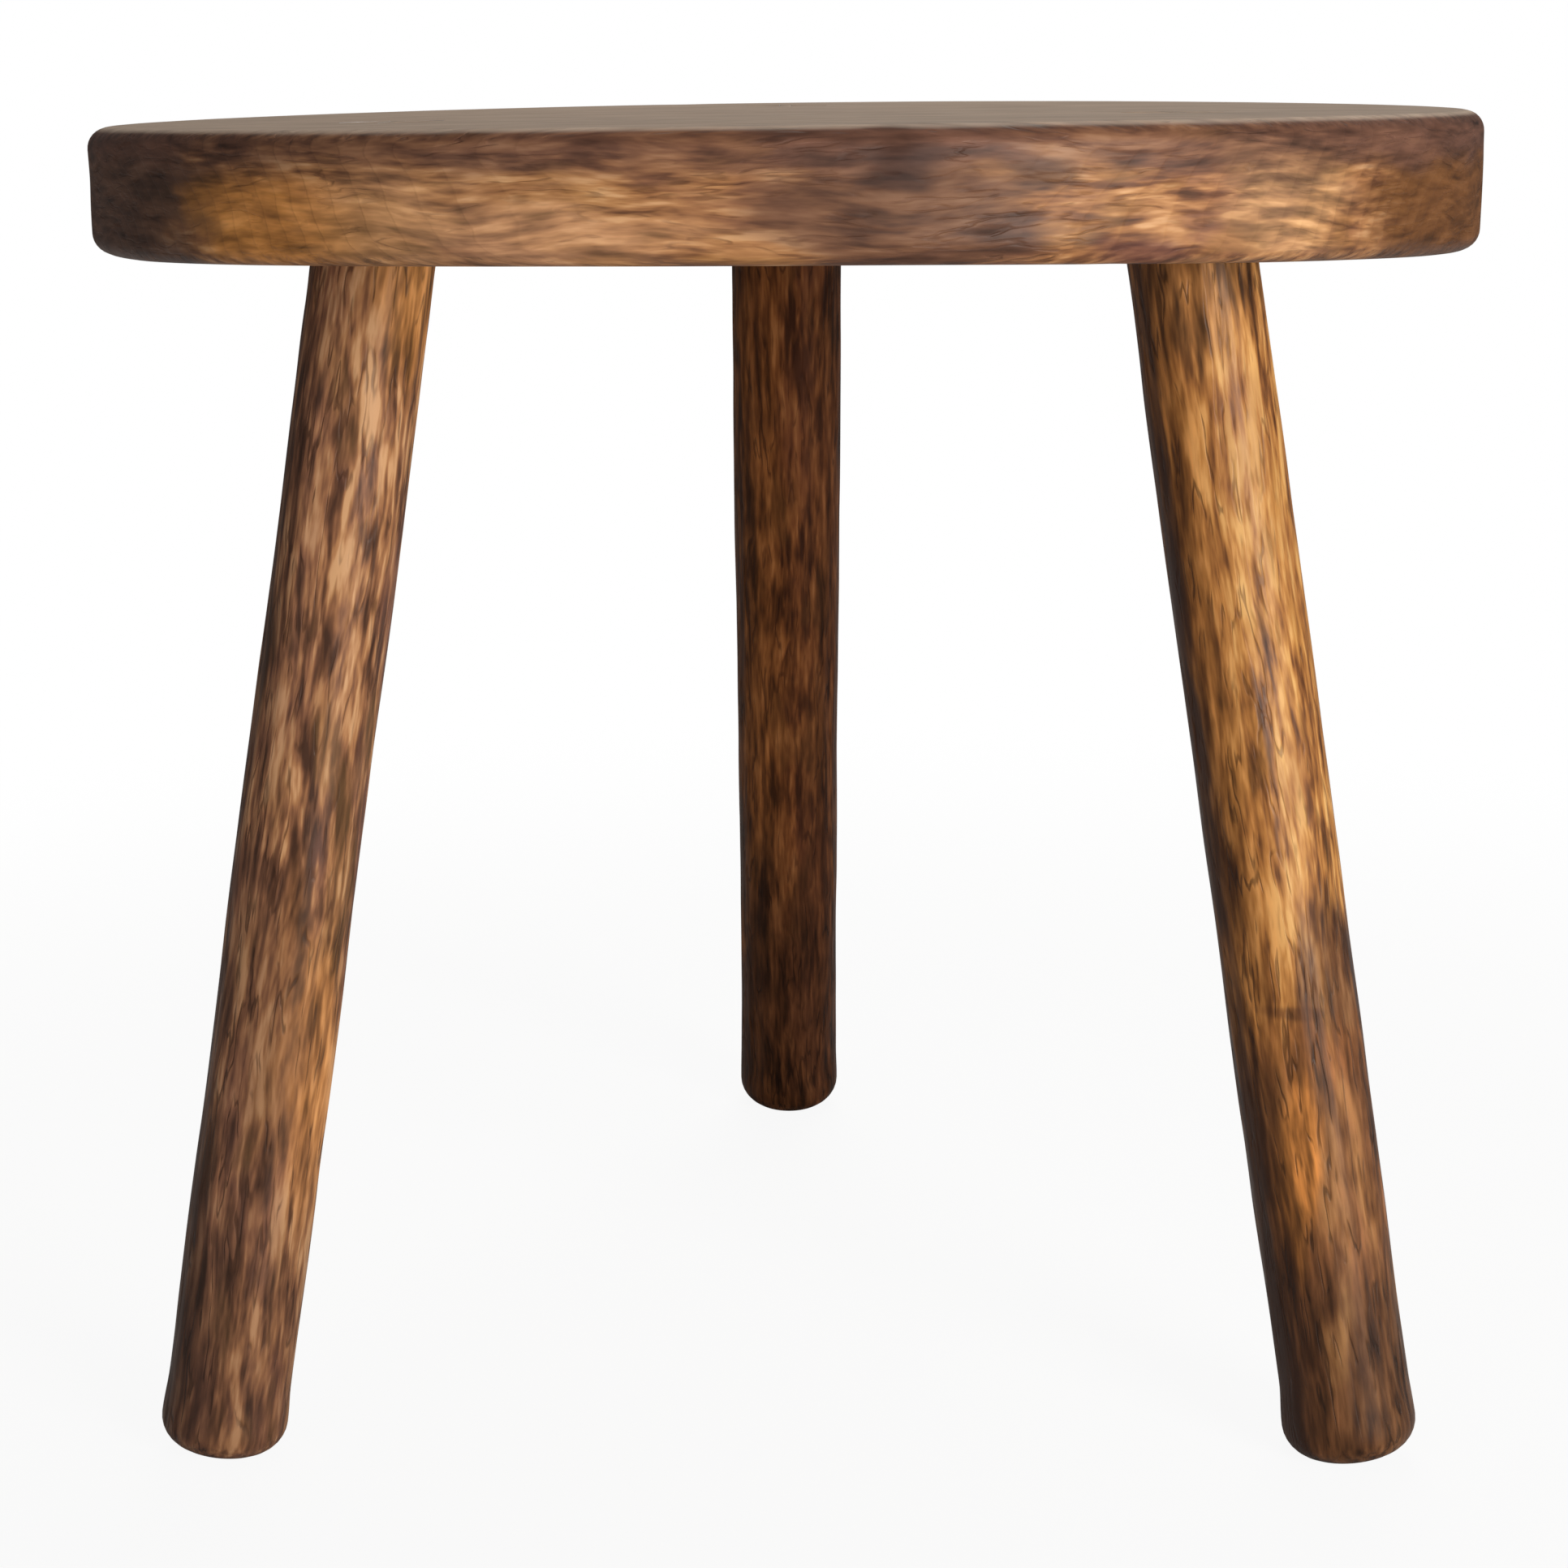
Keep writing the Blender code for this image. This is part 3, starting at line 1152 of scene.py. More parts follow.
@dataclass
class PlankSeat:
    """The round plank.

    Args:
        plan: Its sizes.
        legs: The legs that go through it.
        finish: Its wood.
        edge_radius: Radius of both worn edges.
        edge_wear: How much that radius changes round the seat, as a share of it.
        waviness: How uneven the spokeshave left the rim and the plane the underside.
        top_waviness: How uneven the top still is.
        columns: Points round the rim.
        rows: Rows over the underside, the lower edge, the rim, the upper edge and the top.
        mortise_clearance: Gap round each tenon.
        dents: Knocks.
    """

    plan: SeatFaces
    legs: list[LegPlan]
    finish: WoodFinish
    edge_radius: float = 0.0048
    edge_wear: float = 0.30
    waviness: float = 0.0006
    top_waviness: float = 0.00012
    columns: int = 512
    rows: tuple[int, ...] = (26, 8, 18, 8, 44)
    mortise_clearance: float = 0.00016
    dents: tuple[Dent, ...] = ()

    def build(self) -> bpy.types.Object:
        """Grows the plank, bores its mortises and dresses it.

        Returns:
            The finished seat.
        """
        middle = Vector((0.0, 0.0, (self.plan.underside + self.plan.height) / 2))
        wood = self.finish.make(middle, Vector((1.0, 0.0, 0.0)))
        seat = self.grow(wood)
        for leg in self.legs:
            cut_away(seat, self.mortise(leg))
        face_outwards(seat)
        sharpen(seat, SEAT_EDGE_ANGLE)
        add_to_stool(seat, "seat")
        return seat

    def grow(self, wood: bpy.types.Material) -> bpy.types.Object:
        """Grows the plank: a hollow underside, round edges, a rim and a top that leans to -X.

        Args:
            wood: Its material.

        Returns:
            The plank, without mortises.
        """
        grower = Grower(
            "plank_seat",
            {
                **face_inputs(self.plan),
                "Edge Radius": self.edge_radius,
                "Edge Wear": self.edge_wear,
                "Waviness": self.waviness,
                "Top Waviness": self.top_waviness,
                "Seed": 4.0,
                "Wood": wood,
            },
        )
        bench = grower.bench
        grid, turn, stretches = grower.rows(self.rows, self.columns)
        bottom, lower_edge, rim, upper_edge, top = stretches
        angle = turn * FULL_TURN
        east, north = angle.apply("COSINE"), angle.apply("SINE")
        around = bench.vector(east, north, grower.get("Seed"))
        edge_noise = bench.noise(around * 2.6, 2.0)
        worn = (edge_noise - NOISE_MEAN) * 2.0 * grower.get("Edge Wear")
        edge = grower.get("Edge Radius") * (1.0 + worn)
        lower_arc, upper_arc = lower_edge * QUARTER_TURN, upper_edge * QUARTER_TURN
        faces = face_fields(grower)
        flat = faces.radius - edge
        radius = (
            flat * (bottom - top)
            + edge * lower_arc.apply("SINE")
            - edge * (1.0 - upper_arc.apply("COSINE"))
        )
        x, y = radius * east, radius * north
        thickness = faces.top(x) - faces.bottom(x)
        level = (
            edge * (1.0 - lower_arc.apply("COSINE"))
            + (thickness - edge * 2.0) * rim
            + edge * upper_arc.apply("SINE")
        )
        share = level / thickness
        place = bench.vector(x, y, faces.bottom(x) + level)
        shift = self.wear(grower, place, radius, share, bottom, top)
        grower.finish(grid, place, shift, grower.get("Wood"))
        return grower.grow("seat_plank")

    def wear(
        self, grower: Grower, place: Field, radius: Field, share: Field, bottom: Field, top: Field
    ) -> Field:
        """Works out how use and hand tools have moved each point, always inwards.

        Args:
            grower: The tree.
            place: Where the point would be on a perfect plank.
            radius: How far it is from the middle.
            share: How high it is, from 0 at the underside to 1 at the top.
            bottom: 0 to 1 over the underside, from the middle out.
            top: 0 to 1 over the top, from the edge in.

        Returns:
            The shift.
        """
        bench = grower.bench
        outward = bench.output(
            "ShaderNodeVectorMath", {"operation": "NORMALIZE"}, {0: place * Vector((1.0, 1.0, 0.0))}
        )
        faces = face_fields(grower)
        reach = radius / faces.radius
        uneven = bench.noise(place * Vector((22, 22, 30)) + Vector((3.1, 0.4, 1.0)), 2.0)
        plane_marks = bench.noise(place * Vector((9, 46, 3)) + Vector((0.3, 7.7, 0.2)), 1.0)
        on_rim = reach.ramp(0.9, 1.0)
        pull = outward * (-1.0 * (uneven.ramp(0.3, 0.7) * grower.get("Waviness") * on_rim))
        on_top = share.ramp(0.6, 0.98) * top.ramp(0.0, 0.05)
        under = (1.0 - share.ramp(0.02, 0.4)) * (1.0 - bottom.ramp(0.9, 1.0))
        lift = under * plane_marks.ramp(0.3, 0.7) * grower.get("Waviness")
        sink = on_top * plane_marks.ramp(0.3, 0.7) * grower.get("Top Waviness")
        shift = pull + bench.vector(0.0, 0.0, lift - sink)
        middle = bench.vector(0.0, 0.0, (faces.underside + faces.height) * 0.5)
        inward = bench.output(
            "ShaderNodeVectorMath", {"operation": "NORMALIZE"}, {0: middle - place}
        )
        for dent in self.dents:
            distance = (place - Vector(dent.place)).length() / dent.reach
            shift = shift + inward * ((1.0 - distance.ramp(0.0, 1.0)) * dent.depth)
        return shift

    def mortise(self, leg: LegPlan) -> bpy.types.Object:
        """Makes the round cutter for one tenon.

        Args:
            leg: The leg that goes through.

        Returns:
            The cutter.
        """
        radius = leg.tenon_radius + self.mortise_clearance
        faces = self.plan
        centre = self.plan.slide_to_top(leg.foot, leg.direction)
        turns = [FULL_TURN * side / MORTISE_SIDES for side in range(MORTISE_SIDES)]
        spokes = [
            leg.across_kerf * math.cos(turn) + leg.along_kerf * math.sin(turn) for turn in turns
        ]
        above = centre + leg.direction * leg.tenon_radius * 2
        below = centre - leg.direction * (faces.height - faces.underside + leg.tenon_radius * 2)
        return prism(
            "mortise_" + leg.name.value,
            [below + spoke * radius for spoke in spokes],
            [above + spoke * radius for spoke in spokes],
        )


@dataclass
class ShavedLeg:
    """One leg, shaved round with a drawknife, with its tenon sawn for the wedge.

    Args:
        plan: Its centre line and radii.
        seat: The seat above it.
        finish: Its wood.
        facets: How many flats the drawknife left round it.
        facet_depth: How much of each flat is left, from 0, worn away, to 1.
        waviness: How much the shaft's radius wanders.
        columns: Points round the leg.
        rows: Rows over the sole, its edge, the shaft, the shoulder, the tenon and its end.
        kerf_top: Width of the kerf at the seat's top.
        kerf_tip: Width of the kerf at its end.
        kerf_depth: How far it runs down the tenon.
        sink: How far the tenon's end lies below the seat's top.
    """

    plan: LegPlan
    seat: SeatFaces
    finish: WoodFinish
    facets: int = 15
    facet_depth: float = 0.35
    waviness: float = 0.0006
    columns: int = 120
    rows: tuple[int, ...] = (8, 8, 150, 4, 8, 8)
    kerf_top: float = 0.0034
    kerf_tip: float = 0.0012
    kerf_depth: float = 0.019
    sink: float = 0.00005

    def build(self) -> bpy.types.Object:
        """Grows the leg, saws its kerf and dresses it.

        Returns:
            The finished leg.
        """
        plan = self.plan
        middle = plan.foot + plan.direction * (self.seat.underside / 2)
        wood = self.finish.make(middle, plan.direction)
        leg = self.grow(wood)
        cut_away(leg, self.kerf())
        face_outwards(leg)
        sharpen(leg, LEG_EDGE_ANGLE)
        add_to_stool(leg, "leg_" + plan.name.value)
        return leg

    def grow(self, wood: bpy.types.Material) -> bpy.types.Object:
        """Grows the leg up its centre line: sole, worn edge, shaft, scribed shoulder and tenon.

        Args:
            wood: Its material.

        Returns:
            The leg, without its kerf.
        """
        plan = self.plan
        grower = Grower(
            "shaved_leg_" + plan.name.value,
            {
                "Foot": plan.foot,
                "Direction": plan.direction,
                "Across": plan.across_kerf,
                "Along": plan.along_kerf,
                "Sole": plan.sole,
                "Foot Radius": plan.foot_radius,
                "Foot Edge": plan.foot_edge,
                "Shoulder Radius": plan.shoulder_radius,
                "Shoulder Gap": plan.shoulder_gap,
                "Tenon Radius": plan.tenon_radius,
                "Sink": self.sink,
                **face_inputs(self.seat),
                "Facets": self.facets,
                "Facet Depth": self.facet_depth,
                "Waviness": self.waviness,
                "Wood": wood,
            },
        )
        bench, get = grower.bench, grower.get
        grid, turn, stretches = grower.rows(self.rows, self.columns)
        sole, edge, shaft, shoulder, tenon, end = stretches
        angle = turn * FULL_TURN
        arc = edge * QUARTER_TURN
        faces = face_fields(grower)
        lifted = get("Foot Edge") * (1.0 - arc.apply("COSINE"))
        steepness = get("Direction").part("Z")
        shoulder_height = (faces.underside - get("Shoulder Gap")) / steepness
        length = shoulder_height - get("Sole") - get("Foot Edge")
        height = lifted + length * shaft
        taper = (get("Shoulder Radius") - get("Foot Radius")) * shaft
        full = get("Foot Radius") + taper - self.shaving(grower, turn, height)
        foot_flat = get("Foot Radius") - get("Foot Edge")
        below = foot_flat * sole + get("Foot Edge") * arc.apply("SINE")
        below = below * (1.0 - self.begun(shaft))
        above = full * self.begun(shaft)
        radius = below + above + (get("Tenon Radius") - full) * shoulder
        radius = radius * (1.0 - end)
        spoke = get("Across") * angle.apply("COSINE") + get("Along") * angle.apply("SINE")
        point = get("Foot") + spoke * radius
        square = point.part("Z") + (get("Sole") + height) * steepness
        aim = square
        for _ in range(SCRIBE_STEPS):
            x = point.part("X") + get("Direction").part("X") * ((aim - point.part("Z")) / steepness)
            scribed = square + (faces.bottom(x) - get("Shoulder Gap") - square) * shaft**4
            aim = scribed + (faces.top(x) - get("Sink") - scribed) * tenon
        aim = bench.combine("MAXIMUM", aim, OFF_FLOOR)
        place = point + get("Direction") * ((aim - point.part("Z")) / steepness)
        grower.finish(grid, place, Vector((0.0, 0.0, 0.0)), get("Wood"))
        return grower.grow("leg_" + plan.name.value + "_shaved")

    @staticmethod
    def begun(stretch: Field) -> Field:
        """Returns 1 once a stretch has begun, and 0 before."""
        return stretch.bench.combine("GREATER_THAN", stretch, 0.0)

    def shaving(self, grower: Grower, turn: Field, height: Field) -> Field:
        """Works out how much wood the drawknife took off below the full radius.

        Args:
            grower: The tree.
            turn: The turn from 0 to 1 around the leg.
            height: Distance up the leg from the sole.

        Returns:
            The depth, in metres, never below 0.
        """
        bench, get = grower.bench, grower.get
        angle = turn * FULL_TURN
        around = bench.vector(angle.apply("COSINE"), angle.apply("SINE"), height * 14.0)
        wander = bench.noise(around + get("Foot") * 9.0, 2.0)
        flat = (turn * get("Facets") + (wander - NOISE_MEAN) * 1.2).apply("FRACT") - 0.5
        crown = 0.25 - flat * flat
        chord = get("Foot Radius") * crown * ((FULL_TURN / self.facets) ** 2 / 2)
        swell = wander.ramp(0.3, 0.7) * get("Waviness")
        fade = (height / get("Foot Edge") - 1.0).ramp(0.0, 1.5)
        return (chord * get("Facet Depth") + swell) * fade

    def kerf(self) -> bpy.types.Object:
        """Makes the cutter that saws the kerf.

        Returns:
            The cutter.
        """
        plan = self.plan
        centre = self.seat.slide_to_top(plan.foot, plan.direction)
        narrowing = (self.kerf_top - self.kerf_tip) / self.kerf_depth
        above = plan.tenon_radius

        def outline(distance: float) -> list[Vector]:
            """Returns the slot's corners this far down the tenon."""
            half = (self.kerf_top - narrowing * distance) / 2
            base = centre - plan.direction * distance
            corners = ((-1, -1), (1, -1), (1, 1), (-1, 1))
            reach = plan.tenon_radius * 2
            return [
                base + plan.across_kerf * half * side + plan.along_kerf * reach * way
                for side, way in corners
            ]

        return prism("kerf_" + plan.name.value, outline(self.kerf_depth), outline(-above))


@dataclass
class DrivenWedge:
    """The hardwood wedge in one tenon's kerf, mushroomed a little by the mallet.

    Args:
        leg: The leg it is driven into.
        finish: Its wood.
        gap: Room between it and the kerf.
        depth: How far it goes down.
        cuts: How many times its outline is divided.
        edge_wear: Width of its worn edges.
    """

    leg: ShavedLeg
    finish: WoodFinish
    gap: float = 0.00012
    depth: float = 0.016
    cuts: int = 14
    edge_wear: float = 0.00018

    def build(self) -> bpy.types.Object:
        """Builds the wedge, with its head pared to the seat's top.

        Returns:
            The finished wedge.
        """
        plan, seat = self.leg.plan, self.leg.seat
        centre = seat.slide_to_top(plan.foot, plan.direction)
        narrowing = (self.leg.kerf_top - self.leg.kerf_tip) / self.leg.kerf_depth
        half_top = self.leg.kerf_top / 2 - self.gap
        half_tip = half_top - narrowing * self.depth / 2
        half_length = math.sqrt(plan.tenon_radius**2 - half_top**2)
        rings = []
        for half, distance in ((half_tip, self.depth), (half_top, 0.0)):
            ring = []
            for side, way in ((-1, 1), (1, -1)):
                for step in range(self.cuts):
                    slide = 1 - 2 * step / (self.cuts - 1)
                    corner = plan.across_kerf * half * side
                    corner = corner - plan.along_kerf * half_length * slide * way
                    ring.append(centre - plan.direction * distance + corner)
            rings.append(ring)
        head = []
        for low, high in zip(*rings):
            head.append(seat.slide_to_top(high, high - low) - UP * self.leg.sink)
        wedge = prism("wedge_" + plan.name.value + "_driven", rings[0], head)
        bevel = wedge.modifiers.new("worn_edges", "BEVEL")
        bevel.width = self.edge_wear
        bevel.segments = 2
        wedge.data = take_result(wedge, bevel)
        wedge.data.materials.append(self.finish.make(centre, plan.direction))
        sharpen(wedge, WEDGE_EDGE_ANGLE)
        add_to_stool(wedge, "wedge_" + plan.name.value)
        return wedge


# ---- The room ----


@dataclass(frozen=True)
class Softbox:
    """A square lamp.

    Args:
        name: Its name.
        place: Where it hangs.
        size: Its width.
        power: Watts.
        colour: Its light.
    """

    name: str
    place: tuple[float, float, float]
    size: float
    power: float
    colour: Colour

    def hang(self, target: Vector) -> None:
        """Hangs the lamp, facing a target."""
        lamp = bpy.data.lights.new(self.name, "AREA")
        lamp.shape = "SQUARE"
        lamp.size = self.size
        lamp.energy = self.power
        lamp.color = self.colour
        fitting = add_object(self.name, lamp)
        fitting.location = self.place
        fitting.rotation_euler = (target - Vector(self.place)).to_track_quat("-Z", "Y").to_euler()


@dataclass
class Studio:
    """A plain white room with soft lamps, and the camera.

    Args:
        seat: The seat, which the camera stands off from.
        distance: From the seat's middle to the camera, in seat radii.
        above_top: Height of the camera over the seat's top, in seat radii.
        pitch: How far the camera looks down, in degrees.
        pan: How far it is turned to the side, in degrees.
        roll: How far the picture leans, in degrees.
        focal: Focal length, in widths of the picture.
        lamps: The lamps.
        ambient: How bright the room is around the stool, apart from the lamps.
        glow: How much of the floor's white near the stool is not darkened by its shadow.
    """

    seat: SeatFaces
    distance: float = 4.344
    above_top: float = 0.067
    pitch: float = 14.0
    pan: float = 0.08
    roll: float = 0.23
    focal: float = 1.8412
    lamps: tuple[Softbox, ...] = ()
    ambient: float = 0.14
    glow: float = 0.92

    def build(self) -> None:
        """Lays the floor, lights the room and sets up the camera."""
        self.lay_floor()
        self.light_room()
        self.set_camera()
        bpy.context.scene.view_settings.view_transform = "Standard"

    def lay_floor(self) -> None:
        """Lays a white floor that keeps the stool's soft shadow."""
        shape = bmesh.new()
        bmesh.ops.create_grid(shape, x_segments=2, y_segments=2, size=FLOOR_REACH)
        mesh = bpy.data.meshes.new("floor")
        shape.to_mesh(mesh)
        shape.free()
        floor = add_object("floor", mesh)
        material = bpy.data.materials.new("white_floor")
        material.use_nodes = True
        material.node_tree.nodes.clear()
        bench = Bench(material.node_tree)
        seen = bench.output("ShaderNodeLightPath", {}, {}, "Is Camera Ray")
        away = bench.output("ShaderNodeTexCoord", {}, {}, "Object").length()
        paint = bench.output("ShaderNodeBsdfDiffuse", {}, {"Color": FLOOR_PAINT})
        glow = bench.output("ShaderNodeEmission", {}, {"Color": WHITE, "Strength": 1.0})
        share = self.glow + (1.0 - self.glow) * away.ramp(0.25, 0.7)
        mixed = bench.output("ShaderNodeMixShader", {}, {0: seen * share, 1: paint, 2: glow})
        bench.node("ShaderNodeOutputMaterial", {}, {"Surface": mixed})
        mesh.materials.append(material)

    def light_room(self) -> None:
        """Fills the room with a low light that the camera sees as white, and hangs the lamps."""
        world = bpy.data.worlds.new("room")
        world.use_nodes = True
        world.node_tree.nodes.clear()
        bench = Bench(world.node_tree)
        seen = bench.output("ShaderNodeLightPath", {}, {}, "Is Camera Ray")
        strength = seen * (1.0 - self.ambient) + self.ambient
        room = bench.output("ShaderNodeBackground", {}, {"Color": WHITE, "Strength": strength})
        bench.node("ShaderNodeOutputWorld", {}, {"Surface": room})
        bpy.context.scene.world = world
        for lamp in self.lamps:
            lamp.hang(Vector((0.0, 0.0, self.seat.height * 0.6)))

    def set_camera(self) -> None:
        """Stands the camera in front of the stool, a little above its top."""
        lens = bpy.data.cameras.new("camera")
        lens.sensor_width = 36.0
        lens.lens = self.focal * lens.sensor_width
        lens.clip_start = 0.01
        camera = add_object("camera", lens)
        radius = self.seat.radius
        camera.location = (0.0, -self.distance * radius, self.seat.height + self.above_top * radius)
        tilt = QUARTER_TURN - math.radians(self.pitch)
        look = Euler((tilt, 0.0, math.radians(self.pan)), "XYZ").to_matrix()
        lean = Matrix.Rotation(-math.radians(self.roll), 3, "Z")
        camera.rotation_euler = (look @ lean).to_euler()
        bpy.context.scene.camera = camera


# ---- This stool ----


def seat_finish() -> PlankFinish:
    """Returns the seat's wood: tan and orange below, dull purple brown under the top edge."""
    return PlankFinish(
        name="seat_wood",
        palette=Palette(
            shadow=(0.070, 0.028, 0.013),
            umber=(0.155, 0.063, 0.027),
            body=(0.300, 0.133, 0.052),
            gold=(0.430, 0.207, 0.082),
            pale=(0.580, 0.325, 0.155),
            pore=(0.075, 0.029, 0.014),
            bloom=(0.230, 0.105, 0.068),
            ochre=(0.400, 0.200, 0.060),
        ),
        pith=(0.02, -0.07),
        ring_width=0.0032,
        lightness=0.03,
        contrast=0.80,
        stains_and_painted_light=(
            # darker left end of the rim: partly painted shade on the side away from the key lamp,
            # partly end grain
            StainAndPaintedLight(
                (-0.160, -0.03, 0.284), (0.053, 0.24, 0.08),
                (0.080, 0.040, 0.027), 0.88, 0.8, 0.75,
            ),
            StainAndPaintedLight(
                (-0.101, -0.124, 0.281), (0.028, 0.05, 0.013),
                (0.640, 0.260, 0.055), 0.65, 1.2, 0.4,
            ),
            # tan patch on the rim's left front: partly painted light where the lamps leave it dim
            StainAndPaintedLight(
                (-0.050, -0.151, 0.281), (0.040, 0.05, 0.012),
                (0.520, 0.275, 0.145), 0.50, 1.5, 0.3,
            ),
            StainAndPaintedLight(
                (-0.076, -0.14, 0.283), (0.022, 0.05, 0.016),
                (0.560, 0.290, 0.130), 0.38, 1.4, 0.3,
            ),
            StainAndPaintedLight(
                (0.098, -0.13, 0.286), (0.022, 0.05, 0.014),
                (0.560, 0.330, 0.155), 0.36, 1.2, 0.3,
            ),
            StainAndPaintedLight(
                (0.160, -0.03, 0.285), (0.060, 0.24, 0.08),
                (0.098, 0.037, 0.010), 0.86, 0.9, 0.60,
            ),
            StainAndPaintedLight(
                (0.140, -0.08, 0.3015), (0.070, 0.20, 0.0145),
                (0.065, 0.030, 0.016), 0.85, 0.9, 0.45,
            ),
            StainAndPaintedLight(
                (0.020, -0.16, 0.290), (0.034, 0.05, 0.036),
                (0.092, 0.041, 0.025), 0.84, 1.0, 0.5,
            ),
            StainAndPaintedLight((0.0, 0.0, 0.3004), (0.60, 0.60, 0.0125), (0.125, 0.058, 0.040), 0.70, 0.9, 0.45),
            StainAndPaintedLight(
                (0.0215, -0.16, 0.2925), (0.013, 0.02, 0.0085),
                (0.036, 0.016, 0.012), 0.75, 1.4, 0.3,
            ),
            StainAndPaintedLight(
                (0.048, -0.15, 0.2915), (0.010, 0.02, 0.004),
                (0.050, 0.022, 0.014), 0.70, 0.8, 0.3,
            ),
            StainAndPaintedLight((0.068, -0.15, 0.2765), (0.016, 0.02, 0.004), (0.110, 0.040, 0.036), 0.7),
            StainAndPaintedLight((0.0, 0.0, 0.2715), (0.60, 0.60, 0.0040), (0.060, 0.026, 0.016), 0.50, 0.6),
        ),
        seed=0.31,
        gloss=0.42,
        coarseness=0.9,
        patch_contrast=0.9,
    )


def leg_finish(name: LegName) -> LegFinish:
    """Returns the wood of one leg.

    Args:
        name: Which leg.

    Returns:
        Its finish: golden at the right, partly painted light; duller at the left;
        and dark red brown at the back, partly painted shade.
    """
    if name is LegName.FRONT_RIGHT:
        return LegFinish(
            name="leg_wood_front_right",
            # golden palette: partly painted light on the leg that faces the key lamp
            palette=Palette(
                shadow=(0.050, 0.016, 0.006),
                umber=(0.150, 0.055, 0.017),
                body=(0.330, 0.135, 0.036),
                gold=(0.490, 0.226, 0.062),
                pale=(0.650, 0.360, 0.125),
                pore=(0.070, 0.023, 0.008),
                bloom=(0.260, 0.100, 0.034),
                ochre=(0.420, 0.200, 0.045),
            ),
            pith=(0.03, 0.01),
            ring_width=0.0026,
            lightness=0.10,
            contrast=0.90,
            stains_and_painted_light=(
                StainAndPaintedLight((0.084, -0.06, 0.272), (0.03, 0.06, 0.036), (0.250, 0.108, 0.034), 0.70),
                StainAndPaintedLight((0.13, -0.083, 0.003), (0.10, 0.10, 0.125), (0.051, 0.019, 0.008), 0.92, 1.2),
                StainAndPaintedLight(
                    (0.134, -0.088, 0.083), (0.013, 0.03, 0.036),
                    (0.050, 0.020, 0.010), 0.80, 1.2, 0.4,
                ),
                StainAndPaintedLight(
                    (0.123, -0.088, 0.110), (0.014, 0.03, 0.030),
                    (0.070, 0.027, 0.013), 0.80, 1.5, 0.4,
                ),
                StainAndPaintedLight((0.114, -0.090, 0.098), (0.018, 0.03, 0.012), (0.220, 0.078, 0.020), 0.60),
                StainAndPaintedLight(
                    (0.112, -0.090, 0.1075), (0.011, 0.02, 0.0022),
                    (0.075, 0.026, 0.010), 0.60, 0.9,
                ),
                StainAndPaintedLight(
                    (0.119, -0.088, 0.072), (0.04, 0.05, 0.038),
                    (0.130, 0.050, 0.018), 0.60, 1.0, 0.6,
                ),
                StainAndPaintedLight((0.1135, -0.090, 0.074), (0.007, 0.03, 0.026), (0.400, 0.150, 0.032), 0.60),
            ),
            seed=0.77,
            gloss=0.62,
            shade=(0.045, 0.015, 0.006),
            shade_strength=0.90,
            flank=(0.280, 0.104, 0.024),
            flank_strength=0.75,
            patch_contrast=1.8,
        )
    if name is LegName.FRONT_LEFT:
        return LegFinish(
            name="leg_wood_front_left",
            palette=Palette(
                shadow=(0.048, 0.019, 0.009),
                umber=(0.118, 0.048, 0.022),
                body=(0.230, 0.098, 0.044),
                gold=(0.370, 0.172, 0.070),
                pale=(0.540, 0.300, 0.145),
                pore=(0.050, 0.018, 0.008),
                bloom=(0.235, 0.100, 0.066),
                ochre=(0.230, 0.120, 0.040),
            ),
            pith=(-0.02, 0.03),
            ring_width=0.0027,
            lightness=0.04,
            contrast=1.00,
            stains_and_painted_light=(
                # golden patch on the +X side near the top: partly a painted highlight, partly
                # golden wood
                StainAndPaintedLight(
                    (-0.079, -0.066, 0.268), (0.012, 0.05, 0.038),
                    (0.480, 0.205, 0.050), 0.60, 1.2,
                ),
                StainAndPaintedLight(
                    (-0.107, -0.080, 0.085), (0.011, 0.04, 0.056),
                    (0.430, 0.180, 0.048), 0.55, 1.2,
                ),
                StainAndPaintedLight((-0.13, -0.083, 0.003), (0.10, 0.10, 0.10), (0.110, 0.048, 0.026), 0.50, 1.4),
                StainAndPaintedLight(
                    (-0.116, -0.088, 0.105), (0.014, 0.04, 0.042),
                    (0.080, 0.032, 0.017), 0.50, 1.5,
                ),
                StainAndPaintedLight(
                    (-0.138, -0.080, 0.055), (0.011, 0.05, 0.10),
                    (0.030, 0.012, 0.007), 0.55, 0.8,
                ),
            ),
            seed=1.43,
            gloss=0.5,
            shade=(0.060, 0.027, 0.015),
            shade_strength=0.68,
            flank=(0.230, 0.105, 0.068),
            flank_strength=0.35,
            patch_contrast=1.3,
        )
    return LegFinish(
        name="leg_wood_back",
        # dark palette: partly painted shade on the leg behind the seat
        palette=Palette(
            shadow=(0.036, 0.011, 0.004),
            umber=(0.082, 0.026, 0.008),
            body=(0.145, 0.048, 0.014),
            gold=(0.205, 0.073, 0.022),
            pale=(0.280, 0.112, 0.038),
            pore=(0.036, 0.010, 0.004),
            bloom=(0.130, 0.042, 0.018),
            ochre=(0.120, 0.050, 0.014),
        ),
        pith=(0.01, -0.03),
        ring_width=0.0025,
        lightness=0.0,
        contrast=0.90,
        stains_and_painted_light=(
            StainAndPaintedLight((0.0, 0.150, 0.003), (0.10, 0.10, 0.115), (0.040, 0.014, 0.006), 0.76, 1.0, 0.5),
            # painted shade on the -X edge just under the seat
            StainAndPaintedLight((-0.019, 0.095, 0.272), (0.012, 0.10, 0.05), (0.030, 0.012, 0.006), 0.60, 0.8),
            # painted shade down the +X side, where the key lamp falls
            StainAndPaintedLight((0.019, 0.120, 0.14), (0.018, 0.10, 0.40), (0.060, 0.020, 0.007), 0.75, 0.8),
        ),
        seed=2.09,
        gloss=0.45,
        shade=(0.060, 0.024, 0.012),
        shade_strength=0.4,
        patch_contrast=1.7,
        mirror=0.08,
    )


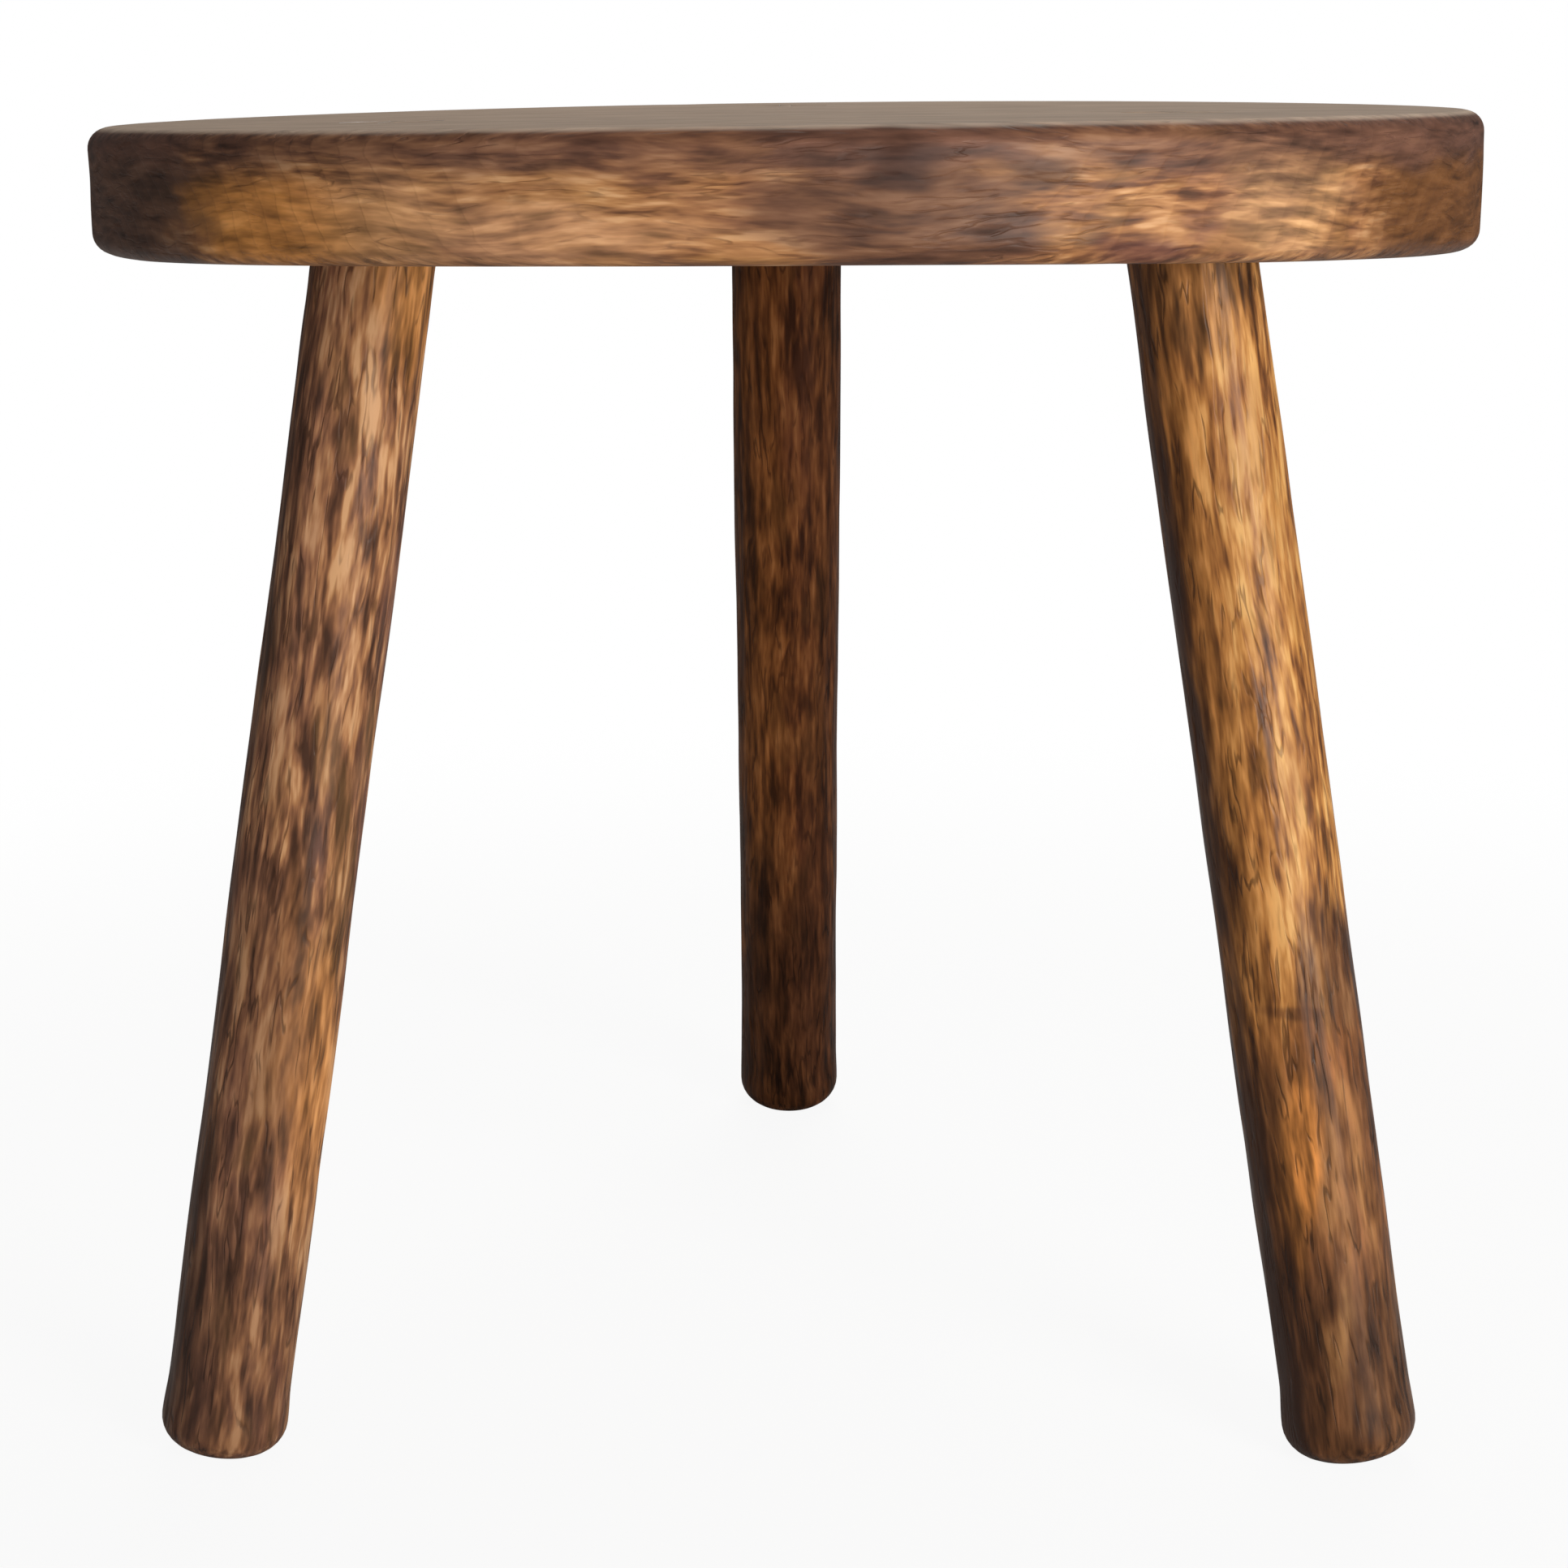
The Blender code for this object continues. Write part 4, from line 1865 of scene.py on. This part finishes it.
def wedge_finish(name: LegName) -> WoodFinish:
    """Returns the darker, tighter wood of one wedge."""
    return WoodFinish(
        name="wedge_wood_" + name.value,
        palette=Palette(
            shadow=(0.035, 0.016, 0.009),
            umber=(0.085, 0.038, 0.020),
            body=(0.150, 0.070, 0.034),
            gold=(0.220, 0.110, 0.052),
            pale=(0.300, 0.160, 0.080),
            pore=(0.035, 0.015, 0.008),
            bloom=(0.120, 0.060, 0.040),
            ochre=(0.150, 0.080, 0.030),
        ),
        pith=(0.01, 0.012),
        ring_width=0.0014,
        lightness=0.0,
        contrast=0.9,
        stains_and_painted_light=(),
        seed=3.3,
        coarseness=0.7,
    )


def clear_scene() -> None:
    """Removes whatever the new file starts with."""
    for thing in list(bpy.data.objects):
        bpy.data.objects.remove(thing, do_unlink=True)


def main() -> None:
    """Builds the stool round its frame, then the room."""
    logging.basicConfig(level=logging.INFO, format="%(name)s: %(message)s")
    clear_scene()
    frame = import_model()
    seat_plan = SeatFaces.from_frame(frame["record"], crown=0.0011)
    legs = [LegPlan.from_frame(name, seat_plan) for name in LegName]
    dents = (
        Dent((0.018, -0.1585, 0.2984), 0.006, 0.0009),
        Dent((-0.062, -0.152, 0.2974), 0.008, 0.0007),
        Dent((0.131, -0.088, 0.2979), 0.007, 0.0008),
        Dent((0.064, -0.147, 0.2744), 0.009, 0.0010),
        Dent((-0.030, 0.156, 0.2979), 0.010, 0.0008),
        Dent((-0.158, 0.015, 0.2759), 0.009, 0.0009),
    )
    PlankSeat(seat_plan, legs, seat_finish(), dents=dents).build()
    for plan in legs:
        leg = ShavedLeg(plan, seat_plan, leg_finish(plan.name))
        leg.build()
        DrivenWedge(leg, wedge_finish(plan.name)).build()
    lamps = (
        Softbox("key_lamp", (0.98, -1.28, 0.42), 0.60, 25.0, (1.0, 0.97, 0.93)),
        Softbox("fill_lamp", (-1.1, -1.5, 0.5), 1.0, 3.5, (1.0, 0.98, 0.95)),
        Softbox("top_lamp", (0.2, 1.0, 1.4), 1.0, 11.0, (1.0, 0.99, 0.96)),
    )
    Studio(seat_plan, lamps=lamps).build()


if __name__ == "__main__":
    main()
